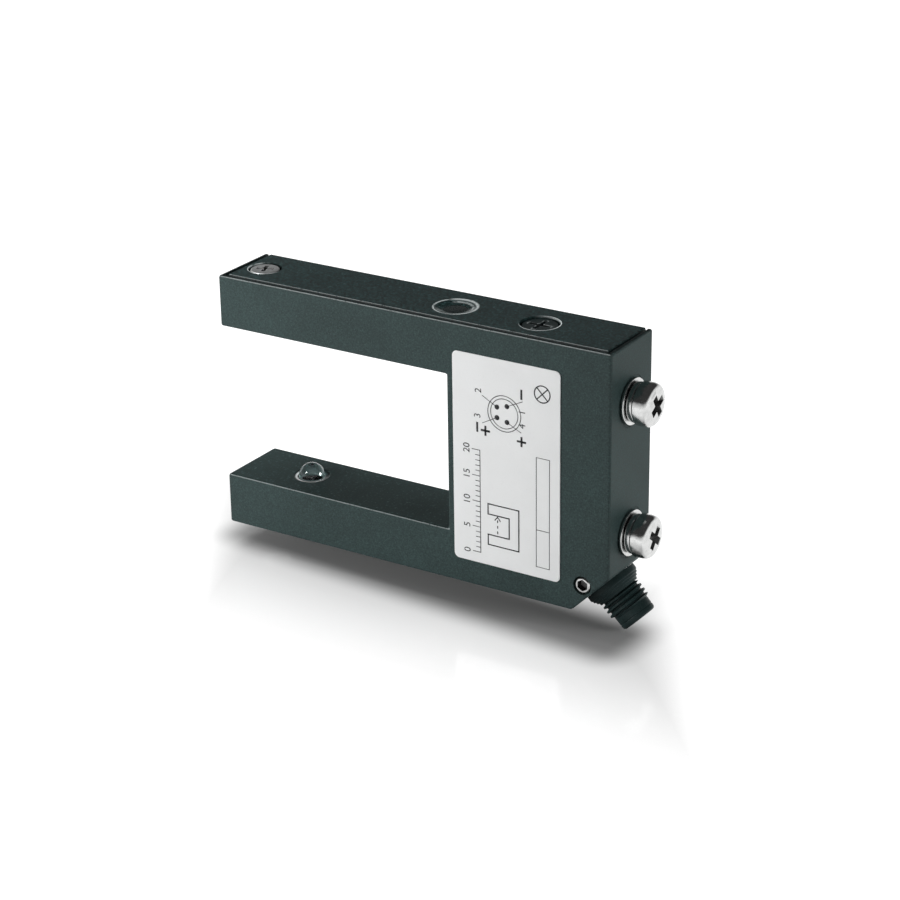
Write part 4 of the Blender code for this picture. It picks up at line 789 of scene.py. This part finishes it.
connectorPlace = Matrix.Translation((-3.8 * mm, 0, -22.8 * mm)) @ Matrix.Rotation(math.radians(135), 4, "Y")
points = placed(carriedRound(radius, level + 0 * angles, angles), connectorPlace)
shell = addPiece("connectorShell", gridMesh("connectorShell", points, wrapRows=True), "black_plastic", sharp=30)
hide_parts("connector_shell")
print("connector made")


# Lenses of the light source and the receiver, each a domed body over a metal cup with its chip
lens = {"radius": 2.5, "dome": 2.5, "seat": (1.25, 2.3, -0.35, -0.6), "rim": (2.53, 3.44, -0.02, -0.22)}
domeAngles = np.linspace(90, 0, 25)
dome = [(lens["radius"] * math.cos(math.radians(a)), lens["dome"] * math.sin(math.radians(a)), 0) for a in domeAngles]
lensCorners = dome + [(2.5, -4.0, 0.15), (2.9, -4.0, 0.15), (2.9, -5.0, 0.15), (0, -5.0, 0)]
seatIn, seatOut, seatHigh, seatLow = lens["seat"]
seatCorners = [(seatOut, seatHigh, 0.05), (seatOut, seatLow, 0.05)]
seatCorners += [(seatIn, seatLow, 0.05), (seatIn, seatHigh - 0.1, 0.05)]
rimIn, rimOut, rimHigh, rimLow = lens["rim"]
rimCorners = [(rimOut, rimHigh, 0.02), (rimOut - 0.12, rimHigh - 0.06, 0.05), (rimIn, rimLow, 0.02)]
rimCorners += [(rimIn, rimLow - 0.2, 0), (rimIn + 0.1, rimLow - 0.2, 0)]
cupCorners = [(0, -2.75, 0), (0.45, -2.75, 0.05), (0.95, -2.1, 0.04), (1.08, -2.1, 0.04), (1.08, -3.1, 0.1)]
cupCorners += [(0.3, -3.3, 0.1), (0.3, -4.9, 0.02), (0, -4.9, 0)]
chipCorners = [(0, -2.5, 0), (0.22, -2.5, 0.03), (0.22, -2.74, 0.01), (0, -2.74, 0)]
for name, face, turn in (("emitter", slotLow, Matrix()), ("receiver", slotHigh, downwards)):
    place = Matrix.Translation((lensX * mm, 0, face)) @ turn
    body = turnedPiece(f"{name}Lens", lensCorners, place, "clear_epoxy", 72)
    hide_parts(name)
    turnedPiece(f"{name}Seat", seatCorners, place, "black_plastic", 48, True, material=lensFloorPaintedLight)
    turnedPiece(f"{name}Rim", rimCorners, place, "black_plastic", 72, True, material=lensRim)
    turnedPiece(f"{name}Cup", cupCorners, place, "tinned_wire", 48)
    turnedPiece(f"{name}Chip", chipCorners, place, "black_plastic", 4)
print("lenses made")


# Indicator window, slightly domed, over its lamp
top, low = coverHigh.z / mm - bowl["depth"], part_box("indicator_window")[0].z / mm
windowCorners = [(0, top, 0), (1.4, top - 0.02, 0.3), (2.22, top - 0.06, 0.03), (2.22, top - 0.35, 0)]
windowCorners += [(1.6, top - 0.4, 0), (1.6, low + 0.6, 0), (2.6, low + 0.6, 0.05), (2.6, low, 0.05), (0, low, 0)]
windowPlace = Matrix.Translation((indicatorX * mm, 0, 0))
window = turnedPiece("indicatorWindow", windowCorners, windowPlace, "smoked_window", 56)
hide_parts("indicator_window")
finishedCopy("sensitivity_adjuster", "adjusterKnob", "black_plastic", 0.08, body="adjuster", material=knobPlastic)


# Label: a thin plate with a drawn pin-out and a beam sign. Places on it are x and z in mm.
label = {"front": -7.68, "back": -7.55, "print": -7.7, "low": (-31.8, -21.7), "high": (-9.8, 18.4), "round": 1.0}


def roundedOutline(low, high, radius, steps=8):
    quarter = np.linspace(0, math.pi / 2, steps)
    angles = np.concatenate([quarter + math.pi / 2 * k for k in range(4)])
    centreX = np.repeat([high[0] - radius, low[0] + radius, low[0] + radius, high[0] - radius], steps)
    centreZ = np.repeat([high[1] - radius, high[1] - radius, low[1] + radius, low[1] + radius], steps)
    return np.stack([centreX + radius * np.cos(angles), centreZ + radius * np.sin(angles)], axis=-1)


# Rows of the plate: the outline drawn in by a share towards the middle, at each depth.
outline = roundedOutline(label["low"], label["high"], label["round"])
centre = outline.mean(axis=0)
drawn = np.array([0.0, 0.5, 0.988, 0.996, 1.0, 1.0, 0.0])[:, None, None]
depth = np.array([label["front"]] * 4 + [label["front"] + 0.03, label["back"], label["back"]])
flat = centre + drawn * (outline - centre)
points = np.stack([flat[..., 0], depth[:, None] + 0 * flat[..., 0], flat[..., 1]], axis=-1) * mm
plate = addPiece("labelPlate", gridMesh("labelPlate", points), "white_label")
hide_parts("label")


# Each shape of the print is a strip between two lines of points: ring, disc or bar. A bar runs past its
# two points by half its width, so that corners meet.
def ringStrip(middle, inner, outer, steps=48):
    angle = np.linspace(0, math.tau, steps + 1)
    way = np.stack([np.cos(angle), np.sin(angle)], axis=-1)
    return np.stack([np.array(middle) + inner * way, np.array(middle) + outer * way])


def barStrip(start, end, width):
    start, end = np.array(start, dtype=float), np.array(end, dtype=float)
    along = (end - start) / np.linalg.norm(end - start) * width / 2
    side = np.array([-along[1], along[0]])
    start, end = start - along, end + along
    return np.stack([np.stack([start - side, end - side]), np.stack([start + side, end + side])])


# The print is read from the right-hand side of the part: its own right is up, and its own top is to the left.
def readPlace(origin, across, up):
    return (origin[0] - up, origin[1] + across)


strips = []
bold = 0.4


# Adds bars along each line of points, which are given across and up from the origin.
def draw(origin, width, *lines):
    for line in lines:
        ends = [readPlace(origin, *point) for point in line]
        strips.extend(barStrip(start, end, width) for start, end in zip(ends, ends[1:]))


pinX, pinZ = -21.1, 8.4
pinDrawing = {"rings": ((3.3, 3.45), (2.72, 2.86)), "pin": 0.48, "lead": 0.12, "half": 0.75}
strips += [ringStrip((pinX, pinZ), *ring) for ring in pinDrawing["rings"]]
pins = [(-1.5, 1.0), (0.55, 1.5), (-1.5, -1.0), (0.55, -1.5)]
leads = [(-4.5, 2.6), (3.7, 3.0), (-4.5, -2.6), (3.4, -2.9)]
for pin, lead in zip(pins, leads):
    strips.append(ringStrip((pinX + pin[0], pinZ + pin[1]), 0.0, pinDrawing["pin"], steps=20))
    strips.append(barStrip((pinX + pin[0], pinZ + pin[1]), (pinX + lead[0], pinZ + lead[1]), pinDrawing["lead"]))
half = pinDrawing["half"]
minusSign, upright = [(-half, 0), (half, 0)], [(0, -half), (0, half)]
draw((pinX + 3.5, pinZ + 4.3), bold, minusSign)
draw((pinX - 5.6, pinZ - 3.6), bold, minusSign)
draw((pinX + 3.5, pinZ - 4.6), bold, minusSign, upright)
draw((pinX - 3.9, pinZ - 4.0), bold, minusSign, upright)

# A fork with its beam, a scale for the way into the fork, fields to write in, and the sign of a lamp.
fork = {"place": (-18.2, -17.6), "width": 8.0, "height": 6.4, "arm": 2.0, "line": 0.24, "thin": 0.2}
beam = {"height": 4.4, "dash": 0.55, "drawn": 0.33, "arrow": (0.9, 0.25, 0.55)}
w, h, a = fork["width"], fork["height"], fork["arm"]
draw(fork["place"], fork["line"], [(0, 0), (w, 0), (w, h), (w - a, h), (w - a, a), (a, a), (a, h), (0, h), (0, 0)])
level, dash = beam["height"], beam["dash"]
for across in np.arange(a + dash, w - a - dash, 2 * dash):
    draw(fork["place"], fork["thin"], [(across, level), (across + beam["drawn"], level)])
tail, tip, spread = beam["arrow"]
draw(fork["place"], fork["thin"], *[[(w - a - tail, level + spread * side), (w - a - tip, level)] for side in (-1, 1)])
scale = {"place": (-26.2, -19.6), "length": 20, "marks": (0.9, 1.6), "line": 0.14, "numbers": 1.9}
draw(scale["place"], scale["line"], [(0, 0), (scale["length"], 0)])
for mark in range(scale["length"] + 1):
    draw(scale["place"], scale["line"], [(mark, 0), (mark, scale["marks"][mark % 5 == 0])])
fields = {"x": (-14.6, -11.9), "line": 0.12, "z": (-19.6, -12.4, 1.5)}
(left, right), low, high = fields["x"], fields["z"][0], fields["z"][-1]
strips += [barStrip((x, low), (x, high), fields["line"]) for x in (left, right)]
strips += [barStrip((left, z), (right, z), fields["line"]) for z in fields["z"]]
lampSign = {"place": (-13.4, 13.6), "radius": (1.45, 1.68), "reach": 1.03, "line": 0.22}
strips.append(ringStrip(lampSign["place"], *lampSign["radius"]))
reach = lampSign["reach"]
draw(lampSign["place"], lampSign["line"], *[[(-reach, -side * reach), (reach, side * reach)] for side in (-1, 1)])
vertices, faces = [], []
for strip in strips:
    start, count = len(vertices), strip.shape[1]
    flatPoints = strip.reshape(-1, 2)
    vertices += np.insert(flatPoints, 1, label["print"], axis=1).tolist()
    step = np.arange(count - 1)
    faces += (start + np.stack([step, step + 1, count + step + 1, count + step], axis=-1)).tolist()
inkMesh = bpy.data.meshes.new("labelPrint")
inkMesh.from_pydata((np.array(vertices) * mm).tolist(), [], faces)
shape = bmesh.new()
shape.from_mesh(inkMesh)
bmesh.ops.remove_doubles(shape, verts=shape.verts, dist=1e-9)
bmesh.ops.recalc_face_normals(shape, faces=shape.faces)
for face in [face for face in shape.faces if face.normal.y > 0]:
    face.normal_flip()
shape.to_mesh(inkMesh)
shape.free()
ink = addPiece("labelPrint", inkMesh, "white_label", material=labelInk)
thicken = ink.modifiers.new("ink", "SOLIDIFY")
thicken.thickness = 0.015 * mm
thicken.offset = -1
numbers = [("1", 3.7, 1.0), ("2", -5.3, 3.4), ("3", -5.5, -1.4), ("4", 3.7, -1.6)]
numbers = [(digit, pinX + x, pinZ + z) for digit, x, z in numbers]
scaleX, scaleZ = scale["place"]
numbers += [(str(mark), scaleX - 2.75, scaleZ + mark) for mark in range(0, scale["length"] + 1, 5)]
for index, (digit, x, z) in enumerate(numbers):
    line = bpy.data.curves.new("digit", "FONT")
    line.body = digit
    line.size = scale["numbers"] * mm
    line.align_x, line.align_y = "CENTER", "CENTER"
    line.extrude = 0.008 * mm
    text = addObject("digit", line)
    bpy.context.view_layer.update()
    digitMesh = bpy.data.meshes.new_from_object(text.evaluated_get(bpy.context.evaluated_depsgraph_get()))
    bpy.data.objects.remove(text)
    upright = Matrix.Rotation(math.radians(90), 4, "Z")  # read from the label's right-hand side
    digitMesh.transform(Matrix.Translation((x * mm, (label["print"] + 0.009) * mm, z * mm)) @ forwards @ upright)
    digitMesh.materials.clear()
    addPiece(f"labelNumber{index + 1}", digitMesh, "white_label", material=labelInk)
print("label made")


# Floor, lights and camera

floorLook = {
    "level": -31.4, "reach": 3.0, "colour": 0.36, "gloss": 0.12, "roughness": 0.12,
    "glow": (0.0, 0.46, 1.02),      # under the part, where nought is a painted shadow, close round it and away from it
    "shadeMiddle": (-0.041, -0.0025, 0), "shadeHalf": (0.042, 0.0035, 10), "shadeTurn": 5.0, "shadeEdge": 0.0085,
    # where the second ends and the third starts
    "front": (-0.009, -0.060), "back": (0.0, 0.034), "aside": (0.034, 0.050),
    "across": (0.843, 0.538, 0), "acrossMiddle": 0.0355,  # the way in which aside is measured
}
rings = np.array([0.0, 0.1, 0.3, 1.0, floorLook["reach"]])[:, None]
angles = fullTurn(64)
level = np.full((5, 64), floorLook["level"] * mm)
floorMesh = gridMesh("floor", np.stack([rings * np.cos(angles) - 0.04, rings * np.sin(angles), level], axis=-1))
floor = addObject("floor", floorMesh)
material = bpy.data.materials.new("pale floor")
material.use_nodes = True
tree = material.node_tree
tree.nodes.clear()
rays = addNode("LightPath", tree=tree).outputs
seen = larger(larger(rays["Is Camera Ray"], rays["Is Glossy Ray"]), rays["Is Transmission Ray"])
spot = addNode("TexCoord", tree=tree).outputs["Object"]
paper = useGroup(clouds, Vector=spot, Size=0.05, Low=0.985, High=1.0)["Value"]
# A painted shadow and reflection on the floor: the glow is nought in a long box under the part, and in front of it
# stays low and rises slowly. How far a point lies outside that box: the length of what exceeds the box's half sizes.
shadeMiddle = floorLook["shadeMiddle"]
turn = math.radians(floorLook["shadeTurn"])
turned = addNode("VectorRotate", {"Vector": spot, "Center": shadeMiddle, "Angle": turn}).outputs[0]
aside = vectorMinus(turned, shadeMiddle)
folded = vectorAbsolute(aside)
past = vectorMinus(folded, floorLook["shadeHalf"])
outside = vectorLarger(past, (0, 0, 0))
fromShade = vectorLength(outside)
under, closeBy, away = floorLook["glow"]
first = mapRange(fromShade, 0.0, floorLook["shadeEdge"], under, closeBy, True)
forward = partsOf(spot)[1]
across = vectorDot(spot, floorLook["across"])
sideways = absolute(plus(across, floorLook["acrossMiddle"]))
toFront = mapRange(forward, *floorLook["front"], 0.0, 1.0)
toBack = mapRange(forward, *floorLook["back"], 0.0, 1.0, True)
toSides = mapRange(sideways, *floorLook["aside"], 0.0, 1.0, True)
most = larger(larger(toFront, toBack), toSides)
second = times(most, away - closeBy)
glow = times(plus(first, second), paper)
diffuse = addNode("BsdfDiffuse", {"Color": (floorLook["colour"],) * 3 + (1,)}, tree).outputs[0]
gloss = addNode("BsdfGlossy", {"Roughness": floorLook["roughness"], "Color": (1, 1, 1, 1)}, tree).outputs[0]
surface = addNode("MixShader", {0: floorLook["gloss"], 1: diffuse, 2: gloss}).outputs[0]
emission = addNode("Emission", {"Strength": times(glow, seen)}).outputs[0]
addNode("OutputMaterial", {"Surface": addNode("AddShader", {0: surface, 1: emission}).outputs[0]})
floorMesh.materials.append(material)

# White for the camera. Mirrors and glass see a white horizon that darkens overhead, as under a studio's ceiling.
surroundings = {"ambient": 0.32, "ceiling": 0.05, "low": 0.06, "high": 0.36}
world = bpy.data.worlds.new("studio")
bpy.context.scene.world = world
world.use_nodes = True
tree = world.node_tree
tree.nodes.clear()
rays = addNode("LightPath", tree=tree).outputs
way = partsOf(addNode("TexCoord", tree=tree).outputs["Generated"])[2]
mirror = mapRange(way, surroundings["low"], surroundings["high"], 1.0, surroundings["ceiling"], True)
shiny = larger(rays["Is Glossy Ray"], rays["Is Transmission Ray"])
plain = mapRange(rays["Is Camera Ray"], 0.0, 1.0, surroundings["ambient"], 1.0)
strength = addNode("Mix", {0: shiny, 2: plain, 3: mirror}, data_type="FLOAT").outputs[0]
background = addNode("Background", {"Color": (1, 1, 1, 1), "Strength": strength}).outputs[0]
addNode("OutputWorld", {"Surface": background})

lamps = {  # place in mm from the part's middle, size in mm, watts
    "key": ((-190, -200, 24), 150, 0.72),
    "side": ((625, 60, 150), 260, 1.8),
    "top": ((-90, 30, 200), 150, 0.23),
    "leftGlint": ((-243, -363, 244), 170, 2.1),
    "rightGlint": ((516, 270, 60), 280, 4.8),
}
pieces = {piece.name: piece for piece in bpy.context.scene.objects if piece.type == "MESH"}
plainPieces = ("floor", "setScrew", "Mounting", "Washer")
glintOn = {  # what mirrors a glint lamp. These two give no light otherwise
    "leftGlint": [name for name in pieces if not any(word in name for word in plainPieces)],
    "rightGlint": ["emitterLens", "receiverLens"],
}
target = Vector((-40, 0, -2)) * mm
for name, (spotPlace, size, watts) in lamps.items():
    light = bpy.data.lights.new(name, "AREA")
    light.shape = "DISK"
    light.size = size * mm
    light.energy = watts
    lamp = addObject(name, light)
    aim = Vector(spotPlace) * mm
    lamp.matrix_world = Matrix.Translation(target + aim) @ aim.to_track_quat("Z", "Y").to_matrix().to_4x4()
    lamp.visible_camera = False
    lamp.visible_glossy = name in glintOn
    lamp.visible_diffuse = name not in glintOn
    if name in glintOn:
        shownOn = bpy.data.collections.new(name)
        for pieceName in glintOn[name]:
            shownOn.objects.link(pieces[pieceName])
        lamp.light_linking.receiver_collection = shownOn

cameraLook = {"place": (192.0, -359.1, 175.0), "yaw": 32.57, "pitch": -22.87, "roll": 0.84, "lens": 101.2}
cameraData = bpy.data.cameras.new("camera")
cameraData.lens = cameraLook["lens"]
cameraData.sensor_width = 36
camera = addObject("camera", cameraData)
yaw, pitch, roll = [math.radians(cameraLook[key]) for key in ("yaw", "pitch", "roll")]
turn = Matrix.Rotation(yaw, 4, "Z") @ Matrix.Rotation(pitch, 4, "X") @ Matrix.Rotation(roll, 4, "Y")
camera.matrix_world = Matrix.Translation(Vector(cameraLook["place"]) * mm) @ turn @ forwards
cameraData.clip_start, cameraData.clip_end = 0.01, 20
bpy.context.scene.camera = camera
bpy.context.scene.view_settings.view_transform = "Standard"
print("floor, lights and camera placed")
